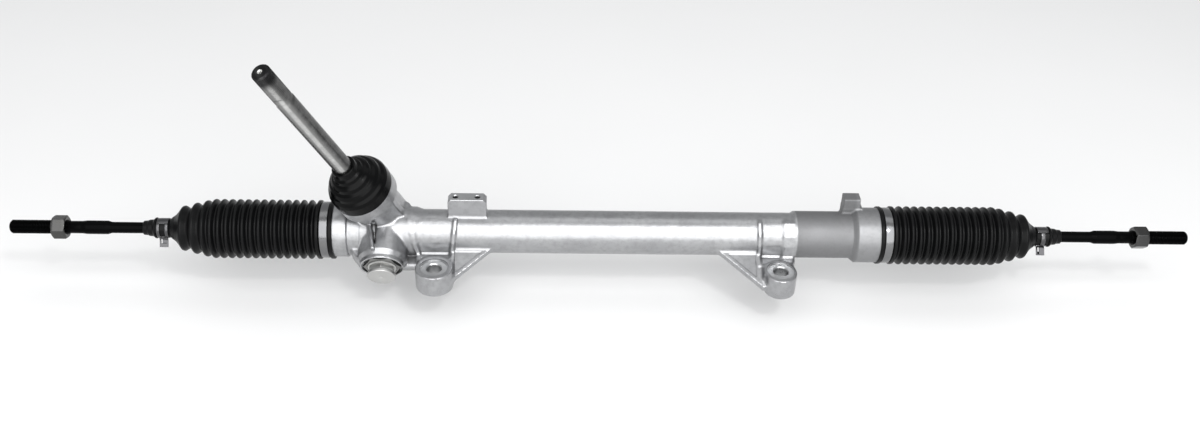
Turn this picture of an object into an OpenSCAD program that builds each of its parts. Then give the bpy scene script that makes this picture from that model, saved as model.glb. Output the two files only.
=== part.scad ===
// Mechanical rack-and-pinion steering gear.
// X runs along the rack, Y away from the pinion side, Z up along the mounting bolts.
// The origin is the middle of the two mounting bolts on the underside of their bosses.

/* [Layout] */
// Distance between the two mounting bolts
bolt_span = 347; // [346:0.5:348]
// Rack axis behind the mounting bolts
rack_y = 46; // [45:0.5:47]
// Rack axis above the mounting face
rack_z = 35; // [34.5:0.5:35.5]
// Yoke position along the rack, from the middle of the bolts
gear_x = -226; // [-227:0.5:-225]
// Pinion position along the rack, from the middle of the bolts
pinion_x = -224.8; // [-225:0.1:-224.6]
// Turn of the gear end about the rack axis
gear_roll = 25; // [24:0.5:26]
// Lean of the pinion axis from square to the rack
pinion_lean = 18.4; // [18.3:0.1:18.5]

/* [Housing] */
// Radius of the rack tunnel in the housing
tunnel_r = 13.5; // [13.4:0.1:13.8]
// Outside radius of the middle tube
tube_r = 22.1; // [21.5:0.1:22.6]
// Outside radius of the right tube
right_tube_r = 24; // [23.6:0.1:24.2]
// Outside radius of the right collar
collar_r = 28.2; // [27.8:0.1:28.4]
// Outside radius of the left neck
neck_r = 27.2; // [26.8:0.1:27.4]
// Half length of the housing
housing_half = 294.5; // [294:0.1:294.5]
// Mounting boss radius
boss_r = 18.5; // [18:0.5:19]
// Radius of the right mounting boss, which is longer than wide
boss_narrow_r = 15.4; // [15.2:0.2:16.4]
// Mounting boss height
boss_h = 22.5; // [22:0.5:23]
// Mounting hole radius
boss_hole_r = 7.25; // [7:0.05:7.5]
// Top pad hole radius
pad_hole_r = 2.55; // [2.5:0.05:3]

/* [Rack and pinion] */
// Rack bar radius
rack_r = 13; // [13:0.01:13.01]
// Half length of the rack bar
rack_half = 366.8; // [366:0.1:366.8]
// Gear module
gear_m = 2; // [2:0.01:2.01]
// Pinion teeth
pinion_teeth = 7; // [7:1:7]
// Pinion addendum shift, in modules
shift = 0.6; // [0.6:0.01:0.61]
// Play between the teeth at the pitch line
backlash = 0.1; // [0.06:0.01:0.15]
// Input shaft radius
shaft_r = 9.3; // [9:0.1:9.5]
// Serrated end radius
spline_r = 8.9; // [8.5:0.1:9]
// Input shaft tip, along the pinion axis
shaft_tip = 259; // [255:1:262]

/* [Yoke] */
// Yoke bore radius
yoke_bore_r = 14.5; // [14.4:0.05:14.6]
// Outer end of the adjuster plug, from the rack axis
plug_end = 54; // [53:0.5:55]

/* [Bellows] */
// Radius over the bellows folds
fold_r = 30; // [29.5:0.1:30.2]
// Radius between the bellows folds
root_r = 26; // [25.5:0.1:26.5]
// Distance from fold to fold
fold_pitch = 8; // [8:0.01:8.01]
// Number of full-size folds
folds = 13; // [13:1:13]
// Rubber thickness
skin = 1.6; // [1.2:0.1:1.8]

/* [Tie rods] */
// Ball centre, from the middle of the rack
ball_x = 395; // [394.5:0.5:395.5]
// Ball radius
ball_r = 13; // [12.9:0.1:13]
// Slim rod radius
rod_r = 5.65; // [5.5:0.05:5.8]
// Thread radius
thread_r = 7; // [6.9:0.05:7.1]
// Tie rod tip, from the middle of the rack
tip_x = 601; // [596:1:606]
// Jam nut width across flats
nut_af = 21; // [19:0.5:22]
// Jam nut middle, from the middle of the rack
nut_x = 551.5; // [551:0.5:552]
// Jam nut thickness
nut_t = 14; // [11:0.5:14]

/* [Hidden] */
$fn = 96;
// pinion axis behind the rack axis, square to both
off = 15.2;
pitch_r = gear_m * pinion_teeth / 2;
base_r = pitch_r * cos(20);
tooth_tip_r = pitch_r + gear_m * (shift + 0.7);
pinion_root_r = 5.75;
rack_tip_y = 6.2;
rack_root_y = 10.05;
p_n = PI * gear_m;
gap_w = gear_m * (PI / 2 + 2 * shift * tan(20));
inv20 = tan(20) * 180 / PI - 20;

// ---------- places ----------

// straight round piece along the rack axis
module rcyl(x0, x1, r, r2 = -1) {
  translate([x0, rack_y, rack_z]) rotate([0, 90, 0])
    cylinder(h = x1 - x0, r1 = r, r2 = r2 < 0 ? r : r2);
}
// turned piece on the rack axis: points are [distance along +X, radius]
module rturn(pts) {
  translate([0, rack_y, rack_z]) rotate([0, 90, 0])
    rotate_extrude() polygon([for (p = pts) [p[1], p[0]]]);
}
module gear_frame() translate([gear_x, rack_y, rack_z]) rotate([gear_roll, 0, 0]) children();
module mesh_frame() translate([pinion_x, rack_y, rack_z]) rotate([gear_roll, 0, 0]) children();
module pinion_frame() mesh_frame() translate([0, off, 0]) rotate([0, -pinion_lean, 0]) children();
module yoke_frame() gear_frame() rotate([90, 0, 0]) children();
module side(s) { if (s > 0) children(); else mirror([1, 0, 0]) children(); }
module ring(z0, z1, ri, ro) {
  translate([0, 0, z0]) difference() {
    cylinder(h = z1 - z0, r = ro);
    translate([0, 0, -1]) cylinder(h = z1 - z0 + 2, r = ri);
  }
}

// ---------- housing ----------

// web from a boss to the tube, towards the middle of the rack
module web(sx) {
  bx = bolt_span / 2;
  translate([0, rack_y, rack_z]) rotate([207.3, 0, 0]) translate([0, 0, -4])
    linear_extrude(8)
      polygon([[sx * (bx + 6), 38.5], [sx * (bx + 6), 52], [sx * (bx - (sx < 0 ? 15.5 : 17.5)), sx < 0 ? 58.8 : 62.4],
        [sx * (bx - (sx < 0 ? 58.6 : 63.6)), 19.4], [sx * (bx - (sx < 0 ? 58.6 : 63.6)), 2], [sx * (bx - (sx < 0 ? 16 : 19)), 2], [sx * (bx - (sx < 0 ? 16 : 19)), 38.5]]);
}
// wall between a boss and the tube
module saddle(x0, x1) {
  translate([x0, 0, 0]) rotate([90, 0, 90]) linear_extrude(x1 - x0)
    polygon([[-4, 3], [-4, boss_h - 1], [22.6, boss_h - 0.4], [24.2, boss_h + 1.4], [24.4, 36], [27, 45], [36, 54], [46, 52], [46, 15], [36, 13], [18, 3]]);
}
// rib over the wall and the tube, w wide, sloping by k along the rack for each mm of height; x is taken at the top of the boss
module rib(x, w, k, y0) {
  multmatrix([[1, 0, k, x - k * boss_h], [0, 1, 0, 0], [0, 0, 1, 0], [0, 0, 0, 1]])
    translate([-w / 2, 0, 0]) rotate([90, 0, 90]) linear_extrude(w)
      polygon([[y0, 3], [y0, boss_h - 1], [19.6, boss_h + 0.6], [21.3, boss_h + 2.6], [21.5, 36], [24.4, 46.6], [34.8, 56.4], [46, 55], [46, 15], [36, 11], [20, 3]]);
}
module boss_block(sx) {
  bx = sx * bolt_span / 2;
  if (sx < 0) translate([bx, 0, 0]) cylinder(h = boss_h, r = boss_r);
  else for (y = [0, boss_narrow_r - boss_r]) translate([bx, y, 0]) cylinder(h = boss_h, r = boss_narrow_r);
  saddle(bx - 17, bx + (sx < 0 ? 17 : 14.5));
}
module housing_outer() {
  // ends under the bellows
  rturn([[-housing_half, 0], [-housing_half, 23.2], [-housing_half + 0.8, 24], [-288.8, 24], [-288.2, 23.4], [-280.8, 23.4], [-280.2, 24], [-276.5, 24],
    [-276.5, neck_r - 0.6], [-275.9, neck_r], [-262.4, neck_r], [-261, 25.6], [-250, 25.6], [-247.5, 24.5], [-194, 24.5], [-187, tube_r], [187, tube_r], [190, right_tube_r],
    [248.2, right_tube_r], [253.4, collar_r], [275.9, collar_r], [276.5, collar_r - 0.6], [276.5, 24], [280.2, 24], [280.8, 23.4], [288.2, 23.4],
    [288.8, 24], [housing_half - 0.8, 24], [housing_half, 23.2], [housing_half, 0]]);
  // pinion tower, collar and lower boss
  pinion_frame() {
    translate([0, 0, -30]) cylinder(h = 76, r = 25);
    translate([0, 0, 43]) cylinder(h = 3, r1 = 25, r2 = 31);
    translate([0, 0, 46]) cylinder(h = 14, r = 31);
    translate([0, 0, -42]) cylinder(h = 20, r = 18);
  }
  // blend between tower and tunnel
  gear_frame() {
    translate([-26, -6, -20]) cube([52, 30, 40]);
    translate([0, 12, 0]) rotate([90, 0, 0]) linear_extrude(10)
      polygon([[0, 10], [0, 50], [12.4, 50], [13.3, 46], [17.2, 34], [22, 24.5], [28, 20.5], [34, 18], [34, 6]]);
  }
  // yoke tower with its flange
  yoke_frame() {
    cylinder(h = 34, r = 24.4);
    translate([0, 0, 34]) cylinder(h = 4.6, r1 = 24.4, r2 = 21.5);
    translate([0, 0, 38.6]) cylinder(h = 3.6, r = 21.5);
    translate([0, 0, 42.2]) cylinder(h = 0.8, r1 = 21.5, r2 = 20.7);
    // side rib, left flank and foot towards the boss
    translate([0, 0, -6]) multmatrix([[1, 0, 0.2, -15.5], [0, 1, 0, 0], [0, 0, 1, 0], [0, 0, 0, 1]]) translate([-2, 0, 0]) cube([4, 28, 42]);
    translate([0, 6, 0]) rotate([90, 0, 0]) linear_extrude(20) polygon([[-32, 10], [-32, 27], [-20.6, 42], [0, 42], [0, 10]]);
    translate([4, -22, 8]) cube([32, 11, 28]);
  }
  // mounting bosses, saddles, ribs and webs
  boss_block(-1);
  boss_block(1);
  rib(-190.8, 4.4, -0.25, 12);
  rib(-157.6, 4, 0.12, 12);
  rib(154, 4, -0.02, 10);
  rib(183.4, 14.4, 0, 16);
  web(-1);
  web(1);
  // top pad
  translate([-161, rack_y - 6.5, rack_z]) difference() {
    cube([38.5, 13, 42]);
    translate([0, -1, 42]) rotate([0, 45, 0]) cube([3, 15, 3], center = false);
  }
  // right lug
  translate([239.5, rack_y + 4, rack_z]) cube([17, 13, 40.5]);
  translate([239.5, rack_y + 4, rack_z]) cube([20, 13, 29.5]);
}
module housing() {
  color([0.72, 0.73, 0.74]) difference() {
    housing_outer();
    // rack tunnel, end counterbores, bush seat and its ring groove
    rcyl(-housing_half - 1, housing_half + 1, tunnel_r);
    rcyl(-housing_half - 1, -285, 16);
    rcyl(262, housing_half + 1, 16);
    rcyl(285.4, 287.4, 17.2);
    // pinion cavity, bearing seats and snap ring groove
    pinion_frame() {
      translate([0, 0, -15]) cylinder(h = 36, r = 12.6);
      translate([0, 0, 20]) cylinder(h = 42, r = 21);
      translate([0, 0, 32.2]) cylinder(h = 1.7, r = 22.4);
      translate([0, 0, -34]) cylinder(h = 24, r = 9);
      translate([0, 0, -43]) cylinder(h = 9.5, r = 12);
    }
    // yoke bore and flange recess
    yoke_frame() {
      cylinder(h = 44, r = yoke_bore_r);
      translate([0, 0, 38.5]) cylinder(h = 5, r = 20);
      // cored-out wedge beside the rib
      translate([0, 30, 0]) rotate([90, 0, 0]) linear_extrude(10.4) polygon([[-13.4, -8], [-7, -8], [-6, 27], [-7, 27]]);
    }
    // mounting holes with countersunk mouths
    for (sx = [-1, 1]) translate([sx * bolt_span / 2, 0, 0]) {
      translate([0, 0, -1]) cylinder(h = boss_h + 30, r = boss_hole_r);
      translate([0, 0, boss_h]) cylinder(h = 24, r = 14.5);
      translate([0, 0, boss_h - 1]) cylinder(h = 1.01, r1 = boss_hole_r, r2 = boss_hole_r + 1);
    }
    // tapped holes in the top pad
    for (x = [-153.5, -131.5]) translate([x, rack_y, rack_z + 42 - 16]) cylinder(h = 17, r = pad_hole_r);
  }
}

// ---------- rack ----------

// one tooth space, centred on the pinion frame's own origin line
module rack_space() {
  t = tan(20);
  w = gap_w + backlash;
  // half widths at the tip line, at the pitch line and at the root line
  yt = -rack_tip_y + 4;
  linear_extrude(90, center = true) polygon([
    [-(w / 2 + (pitch_r + yt) * t), yt], [-(w / 2 - (rack_root_y - pitch_r) * t), -rack_root_y],
    [w / 2 - (rack_root_y - pitch_r) * t, -rack_root_y], [w / 2 + (pitch_r + yt) * t, yt]]);
}
module rack_bar() {
  color([0.62, 0.63, 0.65]) difference() {
    rturn([[-rack_half, 0], [-rack_half, rack_r - 1], [-rack_half + 1, rack_r], [rack_half - 1, rack_r], [rack_half, rack_r - 1], [rack_half, 0]]);
    // flat over the toothed stretch
    mesh_frame() translate([-84, off - rack_tip_y, -15]) cube([168, 10, 30]);
    for (k = [-12:12]) mesh_frame() translate([k * p_n / cos(pinion_lean), off, 0]) rotate([0, -pinion_lean, 0]) rack_space();
    // threaded sockets for the ball joints
    rcyl(-rack_half - 1, -rack_half + 26, 8.05);
    rcyl(rack_half - 26, rack_half + 1, 8.05);
  }
}

// ---------- pinion ----------

function inv_deg(r) = let (a = acos(base_r / r)) tan(a) * 180 / PI - a;
half_pitch_deg = gap_w / (2 * pitch_r) * 180 / PI;
function half_ang(r) = half_pitch_deg + inv20 - inv_deg(max(r, base_r));
flank = [for (i = [0:7]) base_r + (tooth_tip_r - base_r) * i / 7];
function pol(r, a) = [r * sin(a), -r * cos(a)];
module pinion_section() {
  step = 360 / pinion_teeth;
  polygon([for (k = [0:pinion_teeth - 1]) each concat(
    [pol(pinion_root_r, k * step - half_ang(base_r) - 1.5)],
    [for (r = flank) pol(r, k * step - half_ang(r))],
    [pol(tooth_tip_r, k * step)],
    [for (i = [0:7]) pol(flank[7 - i], k * step + half_ang(flank[7 - i]))],
    [pol(pinion_root_r, k * step + half_ang(base_r) + 1.5)],
    [pol(pinion_root_r, (k + 0.5) * step)])]);
}
module pinion_shaft() {
  color([0.66, 0.67, 0.68]) pinion_frame() {
    difference() {
      union() {
        translate([0, 0, -12]) linear_extrude(25.5) pinion_section();
        rotate_extrude() polygon([[0, -31], [5.4, -31], [6, -30.4], [6, -11.5], [0, -11.5]]);
        rotate_extrude() polygon([[0, 13], [8.6, 13], [8.6, 16], [12, 16], [12, 20], [10, 20], [10, 35.4], [shaft_r, 36],
          [shaft_r, shaft_tip - 41], [spline_r, shaft_tip - 40.5], [spline_r, shaft_tip - 1.6], [spline_r - 1.6, shaft_tip], [0, shaft_tip]]);
      }
      // circlip groove
      ring(32.1, 33.4, 9.2, 11);
      // clamp bolt notch
      translate([0, -11.6, shaft_tip - 36]) rotate([0, 90, 0]) cylinder(h = 30, r = 4.6, center = true);
      // centre hole
      translate([0, 0, shaft_tip - 6]) cylinder(h = 7, r = 2.2);
    }
  }
}
module pinion_bearing_outer() {
  color([0.75, 0.76, 0.78]) pinion_frame() difference() {
    ring(20, 32, 18, 21);
    translate([0, 0, 26]) rotate_extrude() translate([15.4, 0]) circle(r = 3.3);
  }
}
module pinion_bearing_inner() {
  color([0.75, 0.76, 0.78]) pinion_frame() difference() {
    ring(20.05, 32, 10, 12.8);
    translate([0, 0, 26]) rotate_extrude() translate([15.4, 0]) circle(r = 3.3);
  }
}
module pinion_bearing_balls() {
  color([0.85, 0.86, 0.88]) pinion_frame() for (k = [0:8]) rotate(k * 40) translate([15.4, 0, 26]) sphere(r = 3.25);
}
module pinion_bearing_cage() {
  color([0.7, 0.6, 0.35]) pinion_frame() difference() {
    ring(21.8, 30.2, 14.3, 16.5);
    for (k = [0:8]) rotate(k * 40) translate([12, 0, 26]) rotate([0, 90, 0]) cylinder(h = 8, r = 3.32);
  }
}
module bearing_snap_ring() {
  color([0.3, 0.3, 0.32]) pinion_frame() difference() {
    ring(32.3, 33.8, 18.6, 22.3);
    translate([-2.5, 0, 30]) cube([5, 30, 6]);
  }
}
module pinion_circlip() {
  color([0.3, 0.3, 0.32]) pinion_frame() difference() {
    ring(32.15, 33.3, 9.25, 12.4);
    translate([-2, 0, 30]) cube([4, 20, 6]);
  }
}
module pinion_oil_seal() {
  color([0.12, 0.12, 0.12]) pinion_frame() rotate_extrude()
    polygon([[12.4, 34.4], [21, 34.4], [21, 41.5], [shaft_r + 1.4, 41.5], [shaft_r + 0.06, 39.6], [shaft_r + 0.06, 38.8], [shaft_r + 2, 36.6], [shaft_r + 2.4, 39.2], [18.8, 39.2], [18.8, 35.9], [12.4, 35.9]]);
}
module pinion_dust_boot() {
  color([0.07, 0.075, 0.08]) pinion_frame() rotate_extrude()
    polygon([[26, 60], [31, 60], [31.3, 60.8], [31.2, 69.4], [30, 72.8], [27.2, 75.4], [26.4, 79], [24.2, 82], [21.4, 83.2], [20.4, 87], [18.2, 89],
      [16, 90], [15, 93.4], [12.6, 95], [12.1, 101.2], [11.4, 102], [shaft_r + 0.07, 102], [shaft_r + 0.07, 99], [11, 97.6], [11, 92.8], [13.2, 90.6], [14.8, 88],
      [18, 86.6], [19, 82], [22.4, 80], [24.4, 77.4], [25.2, 73.8], [27.8, 71.4], [28.8, 68.6], [28.6, 61.6], [26, 61.6]]);
}
module needle_bearing_cup() {
  color([0.7, 0.71, 0.72]) pinion_frame() difference() {
    ring(-28.5, -14.5, 6.6, 9);
    translate([0, 0, -27.6]) cylinder(h = 12.2, r = 8.02);
  }
}
module needle_rollers() {
  color([0.85, 0.86, 0.88]) pinion_frame() for (k = [0:15]) rotate(k * 22.5) translate([7.01, 0, -27.3]) cylinder(h = 11.6, r = 0.97, $fn = 24);
}
module pinion_end_cap() {
  color([0.6, 0.61, 0.62]) pinion_frame() difference() {
    translate([0, 0, -41.5]) cylinder(h = 8, r = 12);
    translate([0, 0, -42]) cylinder(h = 5.5, r = 7.5, $fn = 6);
    translate([0, 0, -34.5]) cylinder(h = 2, r = 7);
  }
}

// ---------- yoke ----------

module rack_yoke() {
  color([0.7, 0.7, 0.68]) yoke_frame() difference() {
    translate([0, 0, 3]) cylinder(h = 27.9, r = 14.45);
    rotate([0, 90, 0]) cylinder(h = 60, r = 13.85, center = true);
    translate([0, 0, 20]) cylinder(h = 12, r = 10.3);
    // ring groove
    ring(23.3, 26.1, 12.1, 16);
  }
}
module yoke_liner() {
  color([0.35, 0.33, 0.3]) yoke_frame() intersection() {
    difference() {
      rotate([0, 90, 0]) cylinder(h = 60, r = 13.82, center = true);
      rotate([0, 90, 0]) cylinder(h = 62, r = 13.05, center = true);
    }
    translate([0, 0, 6]) cylinder(h = 14, r = 13.9);
  }
}
module yoke_o_ring() {
  color([0.08, 0.08, 0.08]) yoke_frame() translate([0, 0, 24.7]) rotate_extrude() translate([13.3, 0]) circle(r = 1.15, $fn = 32);
}
// round wire swept along a coil with closed flat end turns
function coil_z(a, z0, z1, turns) = let (n = 360 * turns, e = 270, f = (a - e) / (n - 2 * e)) z0 + (z1 - z0) * min(max(f, 0), 1) + 0.002 * a;
module coil(rm, rw, z0, z1, turns, nseg = 20, ns = 10) {
  n = round(nseg * turns);
  pts = [for (i = [0:n]) let (a = 360 * turns * i / n, z = coil_z(a, z0, z1, turns)) each
    [for (j = [0:ns - 1]) let (b = 360 * j / ns) [(rm + rw * cos(b)) * cos(a), (rm + rw * cos(b)) * sin(a), z + rw * sin(b)]]];
  faces = concat(
    [[for (j = [0:ns - 1]) j]],
    [for (i = [0:n - 1]) for (j = [0:ns - 1]) [i * ns + j, (i + 1) * ns + j, (i + 1) * ns + (j + 1) % ns]],
    [for (i = [0:n - 1]) for (j = [0:ns - 1]) [i * ns + j, (i + 1) * ns + (j + 1) % ns, i * ns + (j + 1) % ns]],
    [[for (j = [0:ns - 1]) n * ns + ns - 1 - j]]);
  polyhedron(points = pts, faces = faces);
}
module yoke_spring() {
  color([0.55, 0.56, 0.58]) yoke_frame() coil(8.3, 1.4, 21.5, 32.9, 5);
}
module yoke_plug() {
  color([0.62, 0.62, 0.6]) yoke_frame() difference() {
    union() {
      translate([0, 0, 31]) cylinder(h = 14, r = 14.45);
      translate([0, 0, 44]) rotate(12) cylinder(h = plug_end - 47, r = 13.4, $fn = 6);
      rotate_extrude() polygon([[0, plug_end - 4], [13.8, plug_end - 4], [14.2, plug_end - 3.4], [14.2, plug_end - 0.7], [13.5, plug_end], [0, plug_end]]);
    }
    translate([0, 0, 30]) cylinder(h = 8, r = 10.3);
  }
}
module yoke_lock_nut() {
  color([0.55, 0.55, 0.54]) yoke_frame() difference() {
    translate([0, 0, 38.5]) cylinder(h = 5, r = 19, $fn = 6);
    translate([0, 0, 38]) cylinder(h = 6, r = 14.5);
  }
}

// ---------- rack bush ----------

module rack_bush() {
  color([0.85, 0.83, 0.76]) difference() {
    rcyl(262, 285, 16);
    rcyl(261, 286, rack_r + 0.05);
    for (x = [266, 278]) difference() { rcyl(x, x + 3, 17); rcyl(x - 1, x + 4, 14.2); }
  }
}
module bush_o_rings() {
  color([0.08, 0.08, 0.08]) for (x = [267.5, 279.5]) translate([x, rack_y, rack_z]) rotate([0, 90, 0])
    rotate_extrude() translate([15.05, 0]) circle(r = 0.8, $fn = 32);
}
module bush_snap_ring() {
  color([0.3, 0.3, 0.32]) difference() {
    rcyl(285.5, 287.2, 17.1);
    rcyl(284, 289, 14.2);
    translate([284, rack_y, rack_z - 2.5]) cube([5, 20, 5]);
  }
}

// ---------- bellows and clamps, drawn for the right side ----------

// outside of the bellows: [x, radius]
full_folds = [for (k = [0:folds - 1]) let (x = 299.8 + k * fold_pitch) each
  [[x - 1, fold_r], [x + 1, fold_r], [x + fold_pitch / 2 - 0.8, root_r], [x + fold_pitch / 2 + 0.8, root_r]]];
bell_out = concat(
  [[276.5, 29.6], [279.4, 29.6], [280, 27.6], [288.8, 27.6], [289.4, 30], [292.4, 30], [295.4, root_r], [296.2, root_r]],
  full_folds,
  [[403.2, 28.6], [405.2, 28.4], [408.6, 23.6], [410.4, 23.4], [414.2, 26], [416.2, 25.8], [420.2, 20.6], [422, 20.2], [426.4, 23], [428.6, 22.6],
    [432.2, 17.6], [435.4, 14], [439.4, 11.2], [441.8, 9], [454.4, 9], [454.8, 10.7], [456.2, 10.5], [458.2, 8.6], [462.6, 8.2], [463.6, 7.5], [468.4, 7.1]]);
bell_in = concat(
  [[468.4, rod_r + 0.07], [442, rod_r + 0.07]],
  [[436.8, 10.8], [431, 16], [427.4, 20.8]],
  [[421, 18.4], [415.2, 24], [409.6, 21.6], [404.2, 26.6]],
  [for (i = [0:folds - 1]) let (k = folds - 1 - i, x = 299.8 + k * fold_pitch) each
    [[x + fold_pitch / 2 + 0.5, root_r - skin], [x + fold_pitch / 2 - 0.5, root_r - skin], [x + 0.6, fold_r - skin - 0.4], [x - 0.6, fold_r - skin - 0.4]]],
  [[296, root_r - skin], [291.2, 28], [289.6, 24.02], [276.5, 24.02]]);
module bellows(s) { color([0.06, 0.065, 0.07]) side(s) rturn(concat(bell_out, bell_in)); }
module large_clamp(s) {
  color([0.8, 0.81, 0.82]) side(s) {
    rturn([[280.4, 27.62], [288.4, 27.62], [288.4, 28.6], [280.4, 28.6]]);
    // crimped ear
    translate([280.9, rack_y, rack_z]) rotate([-118, 0, 0]) translate([0, -4, 28.4]) cube([7, 8, 2.4]);
  }
}
module small_clamp(s) {
  color([0.8, 0.81, 0.82]) side(s) difference() {
    union() {
      rturn([[442.4, 9.02], [454, 9.02], [454, 10.2], [442.4, 10.2]]);
      // fork end and tongue end, bent outwards
      translate([448.2, rack_y, rack_z]) rotate([-35, 0, 0]) {
        translate([-4.4, -1.3, -19.6]) cube([8.8, 1.2, 10.2]);
        translate([-2.6, 0.5, -18.6]) cube([5.2, 1.2, 9.2]);
      }
    }
    // slot of the fork end
    translate([448.2, rack_y, rack_z]) rotate([-35, 0, 0]) translate([-2.9, -1.8, -16.8]) cube([5.8, 2, 5.6]);
  }
}

// ---------- inner ball joints and tie rods, drawn for the right side ----------

module lock_washer(s) {
  color([0.5, 0.5, 0.52]) side(s) difference() {
    rcyl(rack_half, rack_half + 1.2, 17.4);
    rcyl(rack_half - 1, rack_half + 3, 8.2);
  }
}
module ball_socket(s) {
  xi = rack_half + 1.2;
  color([0.56, 0.57, 0.6]) side(s) difference() {
    rturn([[rack_half - 24, 0], [rack_half - 24, 7], [rack_half - 23, 8], [xi, 8], [xi, 17], [xi + 1, 18], [ball_x + 7, 18], [ball_x + 10.6, 16.4], [ball_x + 10.6, 0]]);
    translate([ball_x, rack_y, rack_z]) rotate([0, 90, 0]) sphere(r = 15.05);
    // mouth for the swinging rod
    translate([ball_x, rack_y, rack_z]) rotate([0, 90, 0]) cylinder(h = 20, r1 = 0, r2 = 20 * tan(52.5));
    // two spanner flats
    for (d = [-1, 1]) translate([xi + 3, rack_y - 20, rack_z + d * 20 - 3.6]) cube([12, 40, 7.2]);
  }
}
module ball_seat(s) {
  color([0.92, 0.92, 0.9]) side(s) difference() {
    translate([ball_x, rack_y, rack_z]) rotate([0, 90, 0]) sphere(r = 15);
    translate([ball_x, rack_y, rack_z]) rotate([0, 90, 0]) sphere(r = 13.05);
    // open front, past the ball's middle, and grease well at the back
    translate([ball_x + 4.2, rack_y, rack_z]) rotate([0, 90, 0]) cylinder(h = 20, r = 20);
    translate([ball_x - 20, rack_y, rack_z]) rotate([0, 90, 0]) cylinder(h = 20, r = 4);
  }
}
module tie_rod(s) {
  color([0.09, 0.09, 0.1]) side(s) union() {
    translate([ball_x, rack_y, rack_z]) rotate([0, 90, 0]) sphere(r = ball_r);
    rturn([[ball_x + 4, 0], [ball_x + 4, 6], [ball_x + 26, 6], [ball_x + 29, rod_r], [500.5, rod_r], [504, 6.9], [525, 6.9], [529.5, 6.3], [541, 6.3],
      [542, thread_r - 0.05], [544.2, thread_r - 0.05], [544.2, thread_r - 0.4], [558.8, thread_r - 0.4], [558.8, thread_r], [tip_x - 1.6, thread_r], [tip_x, thread_r - 1.6], [tip_x, 0]]);
  }
}
module jam_nut(s) {
  color([0.78, 0.79, 0.78]) side(s) difference() {
    intersection() {
      translate([nut_x - nut_t / 2, rack_y, rack_z]) rotate([0, 90, 0]) rotate(14) cylinder(h = nut_t, r = nut_af / 2 / cos(30), $fn = 6);
      rturn([[nut_x - nut_t / 2, 0], [nut_x - nut_t / 2, nut_af / 2 - 0.3], [nut_x - nut_t / 2 + 1.2, nut_af / 2 + 1.8],
        [nut_x + nut_t / 2 - 1.2, nut_af / 2 + 1.8], [nut_x + nut_t / 2, nut_af / 2 - 0.3], [nut_x + nut_t / 2, 0]]);
    }
    rcyl(nut_x - 20, nut_x + 20, thread_r - 0.35);
  }
}

housing();
rack_bar();
pinion_shaft();
pinion_bearing_outer();
pinion_bearing_inner();
pinion_bearing_balls();
pinion_bearing_cage();
bearing_snap_ring();
pinion_circlip();
pinion_oil_seal();
pinion_dust_boot();
needle_bearing_cup();
needle_rollers();
pinion_end_cap();
rack_yoke();
yoke_liner();
yoke_o_ring();
yoke_spring();
yoke_plug();
yoke_lock_nut();
rack_bush();
bush_o_rings();
bush_snap_ring();
bellows(-1);  // left_bellows
large_clamp(-1);  // left_large_clamp
small_clamp(-1);  // left_small_clamp
lock_washer(-1);  // left_lock_washer
ball_socket(-1);  // left_ball_socket
ball_seat(-1);  // left_ball_seat
tie_rod(-1);  // left_tie_rod
jam_nut(-1);  // left_jam_nut
bellows(1);  // right_bellows
large_clamp(1);  // right_large_clamp
small_clamp(1);  // right_small_clamp
lock_washer(1);  // right_lock_washer
ball_socket(1);  // right_ball_socket
ball_seat(1);  // right_ball_seat
tie_rod(1);  // right_tie_rod
jam_nut(1);  // right_jam_nut
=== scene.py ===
import math

import bmesh
import bpy
import numpy as np
from mathutils import Matrix, Vector


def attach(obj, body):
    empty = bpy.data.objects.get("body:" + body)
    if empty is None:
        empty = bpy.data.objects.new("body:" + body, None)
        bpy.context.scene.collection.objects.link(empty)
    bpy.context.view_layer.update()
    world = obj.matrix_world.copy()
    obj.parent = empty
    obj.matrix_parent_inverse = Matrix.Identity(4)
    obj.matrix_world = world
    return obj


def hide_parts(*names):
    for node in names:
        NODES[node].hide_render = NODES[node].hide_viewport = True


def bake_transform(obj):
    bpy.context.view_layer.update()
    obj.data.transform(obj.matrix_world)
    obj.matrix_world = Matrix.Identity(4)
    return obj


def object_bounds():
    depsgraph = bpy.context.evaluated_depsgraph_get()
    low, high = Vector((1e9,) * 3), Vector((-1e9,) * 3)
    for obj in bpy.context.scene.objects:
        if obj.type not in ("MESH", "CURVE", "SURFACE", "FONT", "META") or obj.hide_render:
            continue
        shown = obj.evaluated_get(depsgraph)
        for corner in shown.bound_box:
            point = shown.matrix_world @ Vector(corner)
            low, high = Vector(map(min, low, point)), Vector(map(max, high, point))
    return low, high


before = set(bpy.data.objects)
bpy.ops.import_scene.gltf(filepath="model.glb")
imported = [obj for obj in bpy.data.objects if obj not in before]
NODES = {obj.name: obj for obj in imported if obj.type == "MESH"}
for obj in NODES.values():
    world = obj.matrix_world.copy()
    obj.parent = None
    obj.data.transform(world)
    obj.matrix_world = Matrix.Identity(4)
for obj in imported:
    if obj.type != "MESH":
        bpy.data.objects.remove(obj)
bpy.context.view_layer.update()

MM = 0.001
RY, RZ = 46.0, 35.0  # rack axis
GX = -226.0  # yoke, along the rack
PX_ = -224.8  # pinion, along the rack
ROLL = math.radians(25.0)
LEAN = math.radians(18.4)
OFF = 15.2
CR, SR = math.cos(ROLL), math.sin(ROLL)
CL, SL = math.cos(LEAN), math.sin(LEAN)


# ------------------------------------------------------------------ frames

def frame_of(o, u, v, w):
    return np.array(o, float), np.array(u, float), np.array(v, float), np.array(w, float)


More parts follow.
